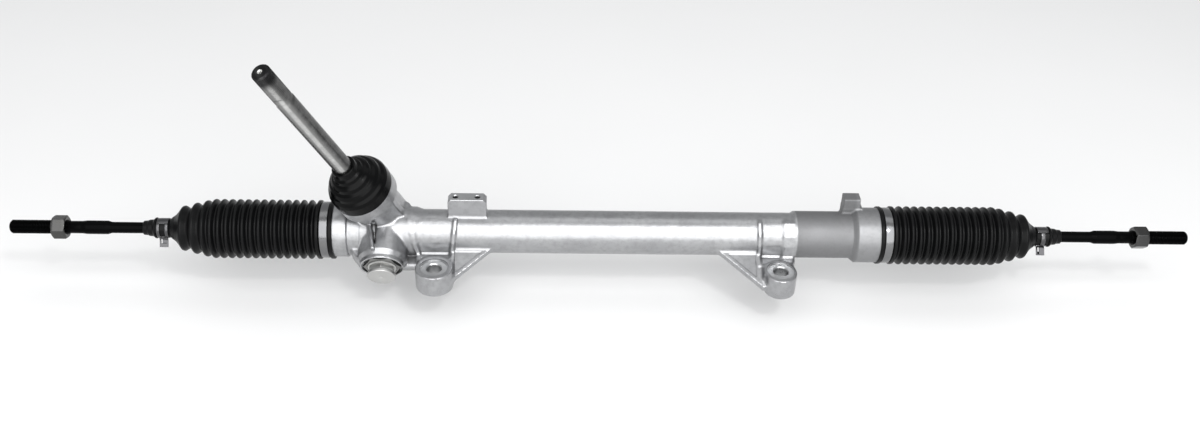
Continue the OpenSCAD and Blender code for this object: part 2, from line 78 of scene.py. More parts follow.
RACK = frame_of((0, RY, RZ), (0, 1, 0), (0, 0, 1), (1, 0, 0))
PIN_O = np.array([PX_, RY + OFF * CR, RZ + OFF * SR])
PIN_W = np.array([-SL, -SR * CL, CR * CL])
PIN_U = np.array([CL, -SR * SL, CR * SL])
PIN_V = np.array([0, CR, SR])
PINION = (PIN_O, PIN_U, PIN_V, PIN_W)
YOKE = frame_of((GX, RY, RZ), (1, 0, 0), (0, -SR, CR), (0, -CR, -SR))


def side_frame(s):
    """Rack-axis frame whose third axis points outwards on side s."""
    return frame_of((0, RY, RZ), (0, 1, 0), (0, 0, 1), (s, 0, 0))


# ------------------------------------------------------------------ mesh helpers

def to_object(name, co_mm, faces, sharp=None, flat=False):
    me = bpy.data.meshes.new(name)
    me.from_pydata((np.asarray(co_mm, float) * MM).tolist(), [], [list(map(int, f)) for f in faces])
    me.validate(clean_customdata=False)
    me.update()
    ob = bpy.data.objects.new(name, me)
    bpy.context.scene.collection.objects.link(ob)
    shade(ob, sharp, flat)
    return ob


def shade(ob, sharp=None, flat=False):
    me = ob.data
    if flat:
        me.shade_flat()
        return
    me.shade_smooth()
    if sharp is not None:
        me.set_sharp_from_angle(angle=math.radians(sharp))


def outward(ob):
    bm = bmesh.new()
    bm.from_mesh(ob.data)
    bmesh.ops.recalc_face_normals(bm, faces=bm.faces)
    bm.to_mesh(ob.data)
    bm.free()


def apply_all(ob):
    dg = bpy.context.evaluated_depsgraph_get()
    me = bpy.data.meshes.new_from_object(ob.evaluated_get(dg), preserve_all_data_layers=True, depsgraph=dg)
    old = ob.data
    ob.modifiers.clear()
    ob.data = me
    me.name = ob.name
    bpy.data.meshes.remove(old)


def bevel(ob, width_mm, segments=2, angle=35):
    m = ob.modifiers.new("edge", "BEVEL")
    m.width = width_mm * MM
    m.segments = segments
    m.limit_method = "ANGLE"
    m.angle_limit = math.radians(angle)
    m.harden_normals = False
    apply_all(ob)


def join(name, obs):
    """Several meshes as one object, in row coordinates."""
    co, faces, base = [], [], 0
    for o in obs:
        me = o.data
        v = np.empty(len(me.vertices) * 3)
        me.vertices.foreach_get("co", v)
        co.append(v.reshape(-1, 3) / MM)
        faces += [[i + base for i in p.vertices] for p in me.polygons]
        base += len(me.vertices)
        bpy.data.objects.remove(o)
        bpy.data.meshes.remove(me)
    return to_object(name, np.vstack(co), faces)


def fil(pts, n=5):
    """A polyline [(t, r, radius)] with its corners rounded to those radii."""
    out = []
    for i, p in enumerate(pts):
        p3 = p[2] if len(p) > 2 else 0
        if i in (0, len(pts) - 1) or p3 <= 0:
            out.append((p[0], p[1]))
            continue
        a, b, c = (np.array(pts[i - 1][:2], float), np.array(p[:2], float), np.array(pts[i + 1][:2], float))
        u, v = a - b, c - b
        lu, lv = np.linalg.norm(u), np.linalg.norm(v)
        u, v = u / lu, v / lv
        ang = math.acos(max(-1, min(1, float(u @ v))))
        if ang > math.radians(176) or ang < 0.05:
            out.append((p[0], p[1]))
            continue
        t = min(p3 / math.tan(ang / 2), 0.49 * lu, 0.49 * lv)
        rad = t * math.tan(ang / 2)
        mid = (u + v) / np.linalg.norm(u + v)
        ctr = b + mid * (rad / math.sin(ang / 2))
        s, e = b + u * t - ctr, b + v * t - ctr
        th = math.acos(max(-1, min(1, float(s @ e) / (rad * rad))))
        for k in range(n + 1):
            w = k / n
            q = ctr + (math.sin((1 - w) * th) * s + math.sin(w * th) * e) / max(math.sin(th), 1e-9)
            out.append((float(q[0]), float(q[1])))
    return out


def lathe(name, prof, fr, n=96, loop=False, sharp=40, rmod=None):
    """Turned piece: prof is [(t, r)] along the frame's third axis. Radius 0 at an end makes a pole."""
    o, u, v, w = fr
    prof = [tuple(p) for p in prof]
    th = np.arange(n) * 2 * np.pi / n
    co, rows = [], []
    for t, r in prof:
        if r <= 1e-6:
            rows.append(("p", len(co)))
            co.append(o + w * t)
        else:
            rows.append(("r", len(co)))
            rr = r if rmod is None else rmod(t, r, th)
            rr = np.broadcast_to(rr, (n,))
            co += list(o + np.outer(rr * np.cos(th), u) + np.outer(rr * np.sin(th), v) + w * t)
    faces = []
    pairs = list(zip(rows[:-1], rows[1:]))
    if loop:
        pairs.append((rows[-1], rows[0]))
    for (ka, a), (kb, b) in pairs:
        for j in range(n):
            k = (j + 1) % n
            if ka == "r" and kb == "r":
                faces.append((a + j, a + k, b + k, b + j))
            elif ka == "p" and kb == "r":
                faces.append((a, b + k, b + j))
            elif ka == "r" and kb == "p":
                faces.append((a + j, a + k, b))
    ob = to_object(name, np.array(co), faces)
    outward(ob)
    shade(ob, sharp)
    return ob


def box_mm(name, x0, x1, y0, y1, z0, z1, rot=None, centre=None):
    """A box in its own axes, turned by rot about the origin and moved to centre."""
    c = np.array([[x, y, z] for x in (x0, x1) for y in (y0, y1) for z in (z0, z1)], float)
    f = [(0, 1, 3, 2), (4, 6, 7, 5), (0, 4, 5, 1), (2, 3, 7, 6), (0, 2, 6, 4), (1, 5, 7, 3)]
    if rot is not None:
        c = c @ np.array(rot, float).T
    if centre is not None:
        c = c + np.array(centre, float)
    return to_object(name, c, f)


def prism(name, poly, x0, x1, to3):
    """A closed 2D outline [(a, b)] drawn out from x0 to x1; to3(a, b, x) gives the point."""
    n = len(poly)
    co = [to3(a, b, x0) for a, b in poly] + [to3(a, b, x1) for a, b in poly]
    faces = [(i, (i + 1) % n, n + (i + 1) % n, n + i) for i in range(n)]
    faces += [tuple(range(n - 1, -1, -1)), tuple(range(n, 2 * n))]
    ob = to_object(name, np.array(co), faces)
    outward(ob)
    return ob


# ------------------------------------------------------------------ materials

def nd(tree, kind, x=0, y=0, **inputs):
    n = tree.nodes.new(kind)
    n.location = (x, y)
    for k, v in inputs.items():
        n.inputs[k.replace("_", " ")].default_value = v
    return n


class Mat:
    """A procedural finish: colour blotches, grain, roughness variation and relief, all from object space."""

    def __init__(self, name, base, metallic, rough, spec=0.5):
        self.m = bpy.data.materials.new(name)
        self.m.use_nodes = True
        self.t = self.m.node_tree
        self.t.nodes.clear()
        self.out = nd(self.t, "ShaderNodeOutputMaterial", 900, 0)
        self.b = nd(self.t, "ShaderNodeBsdfPrincipled", 600, 0)
        self.link(self.b.outputs[0], self.out.inputs[0])
        self.b.inputs["Metallic"].default_value = metallic
        self.b.inputs["Specular IOR Level"].default_value = spec
        self.base, self.rough = np.array(base, float), rough
        self.co = nd(self.t, "ShaderNodeTexCoord", -1200, 0).outputs["Object"]
        self.col = None
        self.rgh = None
        self.h = []

    def link(self, a, b):
        self.t.links.new(a, b)

    def noise(self, scale, detail=3.0, rough=0.5, w=None, stretch=None):
        n = nd(self.t, "ShaderNodeTexNoise", -900, 0)
        n.inputs["Scale"].default_value = scale
        n.inputs["Detail"].default_value = detail
        n.inputs["Roughness"].default_value = rough
        if w is not None:
            n.noise_dimensions = "1D"
            self.link(w, n.inputs["W"])
        elif stretch is not None:
            m = nd(self.t, "ShaderNodeMapping", -1050, 0)
            m.inputs["Scale"].default_value = stretch
            self.link(self.co, m.inputs["Vector"])
            self.link(m.outputs[0], n.inputs["Vector"])
        else:
            self.link(self.co, n.inputs["Vector"])
        return n.outputs["Fac"]

    def cells(self, scale, feature="F1", out="Distance"):
        n = nd(self.t, "ShaderNodeTexVoronoi", -900, -300)
        n.inputs["Scale"].default_value = scale
        n.feature = feature
        self.link(self.co, n.inputs["Vector"])
        return n.outputs[out]

    def dot(self, v):
        n = nd(self.t, "ShaderNodeVectorMath", -1050, -500)
        n.operation = "DOT_PRODUCT"
        self.link(self.co, n.inputs[0])
        n.inputs[1].default_value = v
        return n.outputs["Value"]

    def ramp(self, fac, lo, hi, a=0.0, b=1.0, clamp=True, smooth=False):
        n = nd(self.t, "ShaderNodeMapRange", -600, 0)
        n.clamp = clamp
        if smooth:
            n.interpolation_type = "SMOOTHSTEP"
        self.link(fac, n.inputs["Value"])
        n.inputs["From Min"].default_value = lo
        n.inputs["From Max"].default_value = hi
        n.inputs["To Min"].default_value = a
        n.inputs["To Max"].default_value = b
        return n.outputs[0]

    def math(self, op, a, b=None):
        n = nd(self.t, "ShaderNodeMath", -450, -200)
        n.operation = op
        for i, x in enumerate((a, b)):
            if x is None:
                continue
            if isinstance(x, (int, float)):
                n.inputs[i].default_value = x
            else:
                self.link(x, n.inputs[i])
        return n.outputs[0]

    def mix(self, fac, a, b):
        n = nd(self.t, "ShaderNodeMix", -300, 100)
        n.data_type = "RGBA"
        ins = [i for i in n.inputs if i.type == "RGBA"]
        if isinstance(fac, (int, float)):
            n.inputs[0].default_value = fac
        else:
            self.link(fac, n.inputs[0])
        for sock, x in zip(ins, (a, b)):
            if isinstance(x, (tuple, list, np.ndarray)):
                sock.default_value = (*[float(c) for c in x[:3]], 1)
            else:
                self.link(x, sock)
        return [o for o in n.outputs if o.type == "RGBA"][0]

    def tint(self, fac, lo, hi):
        """Sets the colour to a blend between lo and hi times the base, by fac; the colour so far is replaced."""
        self.col = self.mix(fac, self.base * np.array(lo), self.base * np.array(hi))
        return self

    def over(self, fac, colour):
        self.col = self.mix(fac, self.col if self.col is not None else self.base, colour)
        return self

    def roughness(self, fac, lo, hi):
        r = self.ramp(fac, 0.0, 1.0, lo, hi, clamp=False)
        self.rgh = r if self.rgh is None else self.math("ADD", self.rgh, r)
        return self

    def relief(self, height, depth_mm, strength=1.0):
        self.h.append((height, depth_mm, strength))
        return self

    def done(self, slot=None):
        if self.col is None:
            self.b.inputs["Base Color"].default_value = (*self.base, 1)
        else:
            self.link(self.col, self.b.inputs["Base Color"])
        if self.rgh is None:
            self.b.inputs["Roughness"].default_value = self.rough
        else:
            self.link(self.rgh, self.b.inputs["Roughness"])
        last = None
        for height, depth, strength in self.h:
            bmp = nd(self.t, "ShaderNodeBump", 300, -300)
            bmp.inputs["Strength"].default_value = strength
            bmp.inputs["Distance"].default_value = depth * MM
            self.link(height, bmp.inputs["Height"])
            if last is not None:
                self.link(last, bmp.inputs["Normal"])
            last = bmp.outputs[0]
        if last is not None:
            self.link(last, self.b.inputs["Normal"])
        self.m["slot"] = slot or ""
        return self.m


def cast_aluminium(name, base, rough, grain=1.0, edge=True):
    m = Mat(name, base, 1.0, rough)
    big = m.noise(28, 4.0, 0.55)
    fine = m.noise(950, 3.0, 0.6)
    m.tint(m.ramp(big, 0.3, 0.7), (0.88, 0.88, 0.89), (1.04, 1.04, 1.04))
    m.over(m.ramp(m.noise(190, 4.0, 0.65), 0.56, 0.34, 0.0, 0.75), m.base * 0.76)
    if edge:
        # creases and hollows darkened by concave pointiness: painted shade; convex edges a little lighter as wear
        geo = nd(m.t, "ShaderNodeNewGeometry", -1200, -700)
        p = geo.outputs["Pointiness"]
        m.over(m.ramp(p, 0.5, 0.4, 0.0, 0.55), m.base * 0.45)
        m.over(m.ramp(p, 0.53, 0.62, 0.0, 0.6), np.minimum(m.base * 1.2, 0.97))
        # ambient occlusion darkens the hollows further: painted shade
        ao = nd(m.t, "ShaderNodeAmbientOcclusion", -1200, -900)
        ao.samples = 6
        ao.inputs["Distance"].default_value = 0.011
        m.over(m.ramp(ao.outputs["AO"], 0.68, 0.18, 0.0, 0.82), m.base * 0.2)
        m.roughness(m.ramp(ao.outputs["AO"], 0.9, 0.4), 0.0, 0.2)
    # the plain end's tube and collar have a darker satin skin
    x = m.dot((1, 0, 0))
    zone = m.math("MULTIPLY", m.ramp(x, 0.1905, 0.1925, smooth=True), m.ramp(x, 0.2505, 0.2550, 1.0, 0.62, smooth=True))
    m.over(m.math("MULTIPLY", zone, 0.8), m.base * 0.48)
    m.roughness(m.ramp(big, 0.3, 0.7), rough - 0.04, rough + 0.05)
    m.roughness(fine, -0.03, 0.05)
    m.roughness(zone, 0.0, 0.29)
    m.relief(fine, 0.075 * grain, 0.6)
    m.relief(m.noise(230, 3.0, 0.6), 0.21 * grain, 0.5)
    m.relief(m.noise(75, 3.0, 0.6), 0.62 * grain, 0.5)
    pit = m.cells(420)
    m.relief(m.ramp(pit, 0.0, 0.16), 0.03 * grain, 0.35)
    return m


def turned_metal(name, base, rough, axis, lines=1400, depth=0.012, spots=0.03, metallic=1.0):
    m = Mat(name, base, metallic, rough)
    w = m.dot(tuple(float(a) for a in axis))
    ring = m.noise(lines, 2.0, 0.6, w=w)
    blot = m.noise(45, 3.0, 0.6)
    m.tint(m.ramp(blot, 0.3, 0.7), (1 - 2 * spots,) * 3, (1 + spots,) * 3)
    m.roughness(m.ramp(blot, 0.3, 0.7), rough - 0.04, rough + 0.05)
    m.roughness(ring, -0.03, 0.05)
    m.relief(ring, depth, 0.5)
    m.relief(m.noise(700, 2.0, 0.5), 0.008, 0.3)
    return m


def rubber(name, base, rough, spec=0.3, dust=0.25, grain=0.02):
    m = Mat(name, base, 0.0, rough, spec)
    big = m.noise(22, 4.0, 0.6)
    fine = m.noise(1300, 2.0, 0.6)
    m.tint(m.ramp(big, 0.3, 0.75), (0.85,) * 3, (1.2,) * 3)
    m.over(m.math("MULTIPLY", m.ramp(m.noise(120, 4.0, 0.7), 0.52, 0.8), dust), np.array(base) * 2.2 + 0.004)
    m.roughness(m.ramp(big, 0.3, 0.7), rough - 0.05, rough + 0.07)
    m.roughness(fine, -0.03, 0.05)
    m.relief(fine, grain, 0.4)
    m.relief(m.noise(260, 2.0, 0.5), grain * 2, 0.3)
    return m


def plastic(name, base, rough, spec=0.5, speck=0.06):
    m = Mat(name, base, 0.0, rough, spec)
    big = m.noise(35, 3.0, 0.6)
    fine = m.noise(1500, 2.0, 0.6)
    m.tint(m.ramp(big, 0.3, 0.7), (1 - speck,) * 3, (1 + speck / 2,) * 3)
    m.roughness(fine, rough - 0.05, rough + 0.07)
    m.relief(fine, 0.01, 0.4)
    return m


def zinc(name, base, rough, axis=(1, 0, 0)):
    m = Mat(name, base, 1.0, rough)
    big = m.noise(70, 3.0, 0.6)
    cell = m.cells(380, "F1", "Color")
    sep = nd(m.t, "ShaderNodeSeparateColor", -700, -500)
    m.link(cell, sep.inputs[0])
    m.tint(m.ramp(big, 0.3, 0.7), (0.9, 0.9, 0.92), (1.03, 1.02, 1.0))
    m.over(m.math("MULTIPLY", sep.outputs[0], 0.16), np.array(base) * np.array([0.8, 0.82, 0.86]))
    m.roughness(m.ramp(big, 0.3, 0.7), rough - 0.05, rough + 0.06)
    m.relief(m.noise(1100, 2.0, 0.6), 0.012, 0.4)
    m.relief(m.noise(900, 2.0, 0.6, w=m.dot(axis)), 0.008, 0.35)
    return m


def black_steel(name, base, rough, spec=0.5):
    m = Mat(name, base, 0.0, rough, spec)
    big = m.noise(30, 4.0, 0.6)
    fine = m.noise(800, 3.0, 0.6)
    m.tint(m.ramp(big, 0.3, 0.7), (0.8,) * 3, (1.25,) * 3)
    rub = m.ramp(m.noise(160, 5.0, 0.75), 0.62, 0.74)
    geo = nd(m.t, "ShaderNodeNewGeometry", -1200, -700)
    edge = m.ramp(geo.outputs["Pointiness"], 0.54, 0.62)
    m.over(m.math("MULTIPLY", m.math("ADD", m.math("MULTIPLY", rub, 0.25), m.math("MULTIPLY", edge, 0.5)), 0.6), np.array(base) * 2.0 + 0.006)
    m.roughness(m.ramp(big, 0.3, 0.7), rough - 0.05, rough + 0.08)
    m.roughness(fine, -0.03, 0.05)
    m.relief(fine, 0.02, 0.4)
    m.relief(m.noise(180, 2.0, 0.5), 0.04, 0.25)
    return m


PX = tuple(PIN_W)
YX = tuple(YOKE[3])
M = {}
M["cast"] = cast_aluminium("cast_aluminium_skin", (0.40, 0.403, 0.41), 0.31).done("cast_aluminium")
M["machined"] = turned_metal("machined_aluminium", (0.46, 0.465, 0.47), 0.28, (0, 0, 1), 1200).done("cast_aluminium")
M["yoke_alu"] = turned_metal("yoke_aluminium", (0.72, 0.72, 0.71), 0.34, YX, 1200).done("cast_aluminium")
M["rack_steel"] = turned_metal("ground_rack_steel", (0.58, 0.585, 0.60), 0.22, (1, 0, 0), 1600, 0.006).done("rack_steel")
shaft_m = turned_metal("bare_shaft_steel", (0.23, 0.23, 0.227), 0.27, PX, 900, 0.02, 0.03)
at0 = float(PIN_O @ PIN_W) * MM
off_axis = nd(shaft_m.t, "ShaderNodeVectorMath", -1050, -700)
off_axis.operation = "SUBTRACT"
shaft_m.link(shaft_m.co, off_axis.inputs[0])
off_axis.inputs[1].default_value = [float(c) * MM for c in PIN_O]
crossed = nd(shaft_m.t, "ShaderNodeVectorMath", -900, -700)
crossed.operation = "CROSS_PRODUCT"
shaft_m.link(off_axis.outputs[0], crossed.inputs[0])
crossed.inputs[1].default_value = PX
far_off = nd(shaft_m.t, "ShaderNodeVectorMath", -750, -700)
far_off.operation = "LENGTH"
shaft_m.link(crossed.outputs[0], far_off.inputs[0])
# painted shade and painted highlight: the shaft's flanks darkened and a bright line painted between them, fixed in
# object space
side_v = np.array([0.832, 0.318, 0.454])
side0 = float(PIN_O @ side_v) * MM
across = shaft_m.dot(tuple(float(c) for c in side_v))
patchy = shaft_m.ramp(shaft_m.noise(140, 4.0, 0.6), 0.3, 0.65, 0.55, 1.0)
# painted shade on one flank
shaft_m.over(shaft_m.math("MULTIPLY", shaft_m.ramp(across, side0 + 0.0002, side0 + 0.0046, 0.0, 0.8, smooth=True), patchy), shaft_m.base * 0.22)
# weaker painted shade on the other flank
shaft_m.over(shaft_m.math("MULTIPLY", shaft_m.ramp(across, side0 - 0.0052, side0 - 0.0086, 0.0, 0.5, smooth=True), patchy), shaft_m.base * 0.35)
# painted highlight: a bright line along the shaft
line = shaft_m.math("MULTIPLY", shaft_m.ramp(across, side0 - 0.0050, side0 - 0.0028, smooth=True), shaft_m.ramp(across, side0 + 0.0010, side0 - 0.0010, smooth=True))
shaft_m.over(shaft_m.math("MULTIPLY", line, shaft_m.math("MULTIPLY", patchy, 0.85)), (0.60, 0.60, 0.59))
dark_end = shaft_m.math("MULTIPLY", shaft_m.ramp(shaft_m.dot(PX), at0 + 0.240, at0 + 0.251, 0.0, 0.92, smooth=True), shaft_m.ramp(far_off.outputs["Value"], 0.0022, 0.0026))
shaft_m.over(dark_end, (0.012, 0.012, 0.013))
# lathe centre coloured brighter than the shaft: bare machined metal, partly a painted highlight
centre = shaft_m.math("MULTIPLY", shaft_m.ramp(shaft_m.dot(PX), at0 + 0.250, at0 + 0.252), shaft_m.ramp(far_off.outputs["Value"], 0.0025, 0.0022))
shaft_m.over(centre, (0.62, 0.62, 0.61))
M["shaft"] = shaft_m.done("shaft_steel")
M["bearing"] = turned_metal("bearing_steel", (0.74, 0.75, 0.77), 0.14, PX, 2200, 0.004).done("bearing_steel")
M["brass"] = turned_metal("cage_brass", (0.78, 0.60, 0.30), 0.32, PX, 1500, 0.01).done("bearing_cage")
M["spring"] = black_steel("spring_steel_oiled", (0.055, 0.055, 0.06), 0.35).done("spring_steel")
M["bellows"] = rubber("bellows_rubber", (0.0022, 0.0023, 0.0025), 0.34, 0.13).done("boot_rubber")
M["boot"] = rubber("dust_boot_rubber", (0.0010, 0.0011, 0.0012), 0.18, 0.10, 0.05, 0.008).done("boot_rubber")
M["seal"] = rubber("seal_rubber", (0.02, 0.02, 0.02), 0.5, 0.4).done("seal_rubber")
M["clamp"] = zinc("clamp_steel", (0.20, 0.202, 0.206), 0.20).done("clamp_steel")
M["spring_clamp"] = zinc("spring_clamp_steel", (0.10, 0.10, 0.103), 0.20).done("clamp_steel")
M["rod"] = black_steel("black_rod_steel", (0.0010, 0.0011, 0.0012), 0.24, 0.03).done("black_rod_steel")
M["nut"] = zinc("zinc_plated_nut", (0.075, 0.075, 0.074), 0.22).done("zinc_nut")
M["socket"] = turned_metal("socket_steel", (0.45, 0.46, 0.49), 0.35, (1, 0, 0), 1000, 0.02).done("socket_steel")
M["seat"] = plastic("seat_plastic", (0.80, 0.80, 0.76), 0.38).done("seat_plastic")
M["liner"] = plastic("liner_plastic", (0.12, 0.105, 0.085), 0.5).done("liner_plastic")
M["plug"] = turned_metal("plug_steel", (0.50, 0.50, 0.49), 0.36, YX, 800, 0.015, 0.06).done("plug_steel")
M["jam"] = turned_metal("jam_nut_steel", (0.22, 0.22, 0.215), 0.34, YX, 800, 0.015, 0.06).done("plug_steel")
M["cap"] = turned_metal("cap_steel", (0.60, 0.60, 0.585), 0.34, PX, 800, 0.015, 0.06).done("plug_steel")


def finish_piece(ob, mat, body=None, replaces=()):
    ob.data.materials.clear()
    for m in mat if isinstance(mat, (list, tuple)) else [mat]:
        ob.data.materials.append(m)
    if body:
        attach(ob, body)
    if replaces:
        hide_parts(*replaces)
    return ob


# ------------------------------------------------------------------ housing as one blended casting

def sd_poly(x, y, verts):
    v = np.asarray(verts, float)
    d = np.full(x.shape, 1e9)
    inside = np.zeros(x.shape, bool)
    n = len(v)
    for i in range(n):
        ax, ay = v[i]
        bx, by = v[i - 1]
        ex, ey = bx - ax, by - ay
        wx, wy = x - ax, y - ay
        t = np.clip((wx * ex + wy * ey) / (ex * ex + ey * ey), 0, 1)
        qx, qy = wx - ex * t, wy - ey * t
        np.minimum(d, qx * qx + qy * qy, out=d)
        c1, c2 = y >= ay, y < by
        c3 = ex * wy > ey * wx
        inside ^= (c1 & c2 & c3) | (~c1 & ~c2 & ~c3)
    d = np.sqrt(d)
    return np.where(inside, -d, d)


def inset(poly, d):
    """The outline moved inwards by d, whichever way it runs."""
    p = np.asarray(poly, float)
    area = 0.5 * np.sum(p[:, 0] * np.roll(p[:, 1], -1) - np.roll(p[:, 0], -1) * p[:, 1])
    if area < 0:
        p = p[::-1]
    out = []
    n = len(p)
    for i in range(n):
        a, b, c = p[i - 1], p[i], p[(i + 1) % n]
        e1, e2 = (b - a) / np.linalg.norm(b - a), (c - b) / np.linalg.norm(c - b)
        n1, n2 = np.array([-e1[1], e1[0]]), np.array([-e2[1], e2[0]])
        m = n1 + n2
        k = m @ m
        out.append(b + m * (2 * d / k) if k > 1e-6 else b + n1 * d)
    return np.array(out)


def smin(a, b, k):
    h = np.maximum(k - np.abs(a - b), 0) / k
    return np.minimum(a, b) - h * h * k * 0.25


def ext(d2, w, h, r=0.0):
    """2D distance drawn out to half height h along w, with rounded ends."""
    a, b = d2 + r, np.abs(w) - (h - r)
    return np.minimum(np.maximum(a, b), 0) + np.sqrt(np.maximum(a, 0) ** 2 + np.maximum(b, 0) ** 2) - r


def cyl(x, y, w, r, w0, w1, rd=0.6):
    return ext(np.sqrt(x * x + y * y) - r, w - (w0 + w1) / 2, (w1 - w0) / 2, rd)


def sbox(x, y, z, x0, x1, y0, y1, z0, z1, rd=1.0):
    qx = np.abs(x - (x0 + x1) / 2) - (x1 - x0) / 2 + rd
    qy = np.abs(y - (y0 + y1) / 2) - (y1 - y0) / 2 + rd
    qz = np.abs(z - (z0 + z1) / 2) - (z1 - z0) / 2 + rd
    o = np.sqrt(np.maximum(qx, 0) ** 2 + np.maximum(qy, 0) ** 2 + np.maximum(qz, 0) ** 2)
    return o + np.minimum(np.maximum(qx, np.maximum(qy, qz)), 0) - rd


TURNED = [(-294.5, -6), (-294.5, 23.2), (-293.7, 24), (-276.5, 24), (-276.5, 26.8), (-276.0, 27.2), (-262.4, 27.2), (-261, 25.6), (-250, 25.6), (-247.5, 24.5), (-194, 24.5),
          (-187, 22.1), (187, 22.1), (190, 24.0), (248.2, 24.0), (253.4, 28.2), (275.7, 28.2), (276.5, 27.4), (276.5, 24), (293.7, 24), (294.5, 23.2), (294.5, -6)]
TURNED_IN = inset(TURNED, 0.5)
BX = 173.5
SADDLE = inset([(-4, 3), (-4, 21.5), (22.6, 22.1), (24.2, 23.9), (24.4, 36), (27, 45), (36, 54), (46, 52), (46, 15), (36, 13), (18, 3)], 1.2)
RIBS = [(-190.8, 4.4, -0.25, 12), (-157.6, 4, 0.12, 12), (154, 4, -0.02, 10), (183.4, 14.4, 0.0, 16)]
WEB = {
    -1: ([(-179.5, 38.5), (-179.5, 52), (-158, 58.8), (-114.9, 19.4), (-114.9, 2), (-157.5, 2), (-157.5, 38.5)], [(-154.0, 26.0), (-154.0, 49.5), (-128.4, 26.0)]),
    1: ([(179.5, 38.5), (179.5, 52), (156, 62.4), (109.9, 19.4), (109.9, 2), (154.5, 2), (154.5, 38.5)], [(149.6, 26.0), (149.6, 50.6), (123.2, 26.0)]),
}
CW, SW = math.cos(math.radians(207.3)), math.sin(math.radians(207.3))
COLLAR = inset([(42.2, -6), (42.2, 24.2), (46, 31), (60, 31), (60, -6)], 0.6)
GUSSET = inset([(0, 10), (0, 50), (12.4, 50), (13.3, 46), (16.8, 34), (20.6, 25), (25, 20.2), (29, 17), (29, 6)], 1.6)
YTOWER = inset([(-2, -6), (-2, 24.4), (34, 24.4), (38.6, 21.5), (42.2, 21.5), (43, 20.7), (43, -6)], 0.35)
FLANK = inset([(-32, 10), (-32, 27), (-20.6, 42), (0, 42), (0, 10)], 2.5)
WEDGE = [(-14.2, -12), (-5.4, -12), (-5.6, 28), (-7.4, 28)]


def near(x, x0, x1, fn, far=60.0):
    """fn evaluated only where x is close to its stretch."""
    m = (x > x0 - 14) & (x < x1 + 14)
    out = np.full(x.shape, far)
    if m.any():
        out[m] = fn(m)
    return out


def casting(x, y, z):
    rho = np.hypot(y - RY, z - RZ)
    d = sd_poly(x, rho, TURNED_IN) - 0.5

    def gear(m):
        X, Y, Z = x[m] - GX, y[m] - RY, z[m] - RZ
        gy, gz = Y * CR + Z * SR, -Y * SR + Z * CR
        XP = x[m] - PX_
        px, py, pz = XP * CL + gz * SL, gy - OFF, -XP * SL + gz * CL
        pr = np.hypot(px, py)
        L = -gy
        yr = np.hypot(X, gz)
        tower = cyl(px, py, pz, 25, -30, 48, 1.5)
        collar = sd_poly(pz, pr, COLLAR) - 0.6
        low = cyl(px, py, pz, 18, -42, -22, 1.0)
        block = sbox(X, gy, gz, -26, 26, -6, 24, -20, 20, 5)
        gus = ext(sd_poly(X, gz, GUSSET) - 1.6, gy - 7, 5, 2.5)
        yt = sd_poly(L, yr, YTOWER) - 0.35
        fin = sbox((X - 0.2 * (L + 6) + 15.5) / 1.0198, gz, L, -1.9, 1.9, 0, 28, -9, 36.5, 1.5)
        flank = ext(sd_poly(X, L, FLANK) - 2.5, gz + 4, 10, 3.0)
        foot = sbox(X, gz, L, 4, 36, -22, -11, 8, 36, 4.0)
        wedge = ext(sd_poly(X, L, WEDGE), gz - 24.2, 7.0, 0.4)
        g = smin(tower, collar, 0.8)
        g = smin(g, low, 2.5)
        g = smin(g, block, 3)
        g = smin(g, gus, 3)
        g = smin(g, flank, 4)
        g = smin(g, foot, 6)
        g = smin(g, yt, 2.0)
        g = -smin(-g, wedge, 1.2)
        g = smin(g, fin, 1.6)
        return g

    ge = near(x, -268, -180, gear)
    d = smin(d, ge, 2.5)

    for sx in (-1, 1):
        bx = sx * BX
        outer, pocket = WEB[sx]
        outer = inset(outer, 0.7)

        def boss(m):
            X, Y, Z = x[m], y[m], z[m]
            if sx < 0:
                b = cyl(X - bx, Y, Z - 11.25, 18.5, -11.25, 11.25, 1.3)
                s = ext(sd_poly(Y, Z, SADDLE) - 1.2, X - bx, 17, 2.0)
            else:
                b = smin(cyl(X - bx, Y + 3.1, Z - 11.25, 15.4, -11.25, 11.25, 1.3), cyl(X - bx, Y, Z - 11.25, 15.4, -11.25, 11.25, 1.3), 1.5)
                s = ext(sd_poly(Y, Z, SADDLE) - 1.2, X - bx + 1.25, 15.75, 2.0)
            b = smin(b, s, 4.0)
            wy = (Y - RY) * CW + (Z - RZ) * SW
            wz = -(Y - RY) * SW + (Z - RZ) * CW
            w = ext(sd_poly(X, wy, outer) - 0.7, wz, 4, 0.9)
            p = ext(sd_poly(X, wy, pocket), np.abs(wz) - 6.0, 2.8, 0.6)
            w = -smin(-w, p, 1.6)
            return smin(b, w, 4.0)

        d = smin(d, near(x, min(bx - sx * 66, bx + sx * 22), max(bx - sx * 66, bx + sx * 22), boss), 3.0)
    for xc, w, k, y0 in RIBS:
        outline = inset([(y0, 3), (y0, 21.5), (19.6, 23.1), (21.3, 25.1), (21.5, 36), (24.4, 46.6), (34.8, 56.4), (46, 55), (46, 15), (36, 11), (20, 3)], 1.2)
        soft = 1.6 if w < 8 else 3.4

        def rib(m):
            Y, Z = y[m], z[m]
            return ext(sd_poly(Y, Z, outline) - 1.2, (x[m] - xc - k * (Z - 22.5)) / math.sqrt(1 + k * k), w / 2, soft)
        d = smin(d, near(x, xc - w / 2 - 6, xc + w / 2 + 6, rib), 2.4)

    def pad(m):
        X, Y, Z = x[m], y[m], z[m]
        p = sbox(X, Y, Z, -161, -122.5, 39.5, 52.5, 35, 77, 0.8)
        ch = (np.abs(X + 141.75) - 19.25 + (Z - 77) + 3.2) / math.sqrt(2)
        return np.maximum(p, ch)

    def lug(m):
        X, Y, Z = x[m], y[m], z[m]
        return smin(sbox(X, Y, Z, 239.5, 256.5, 50, 63, 35, 75.5, 0.8), sbox(X, Y, Z, 239.5, 259.5, 50, 63, 35, 64.5, 0.8), 1.0)

    d = smin(d, near(x, -161, -122.5, pad), 3.0)
    d = smin(d, near(x, 239.5, 259.5, lug), 3.0)
    return d


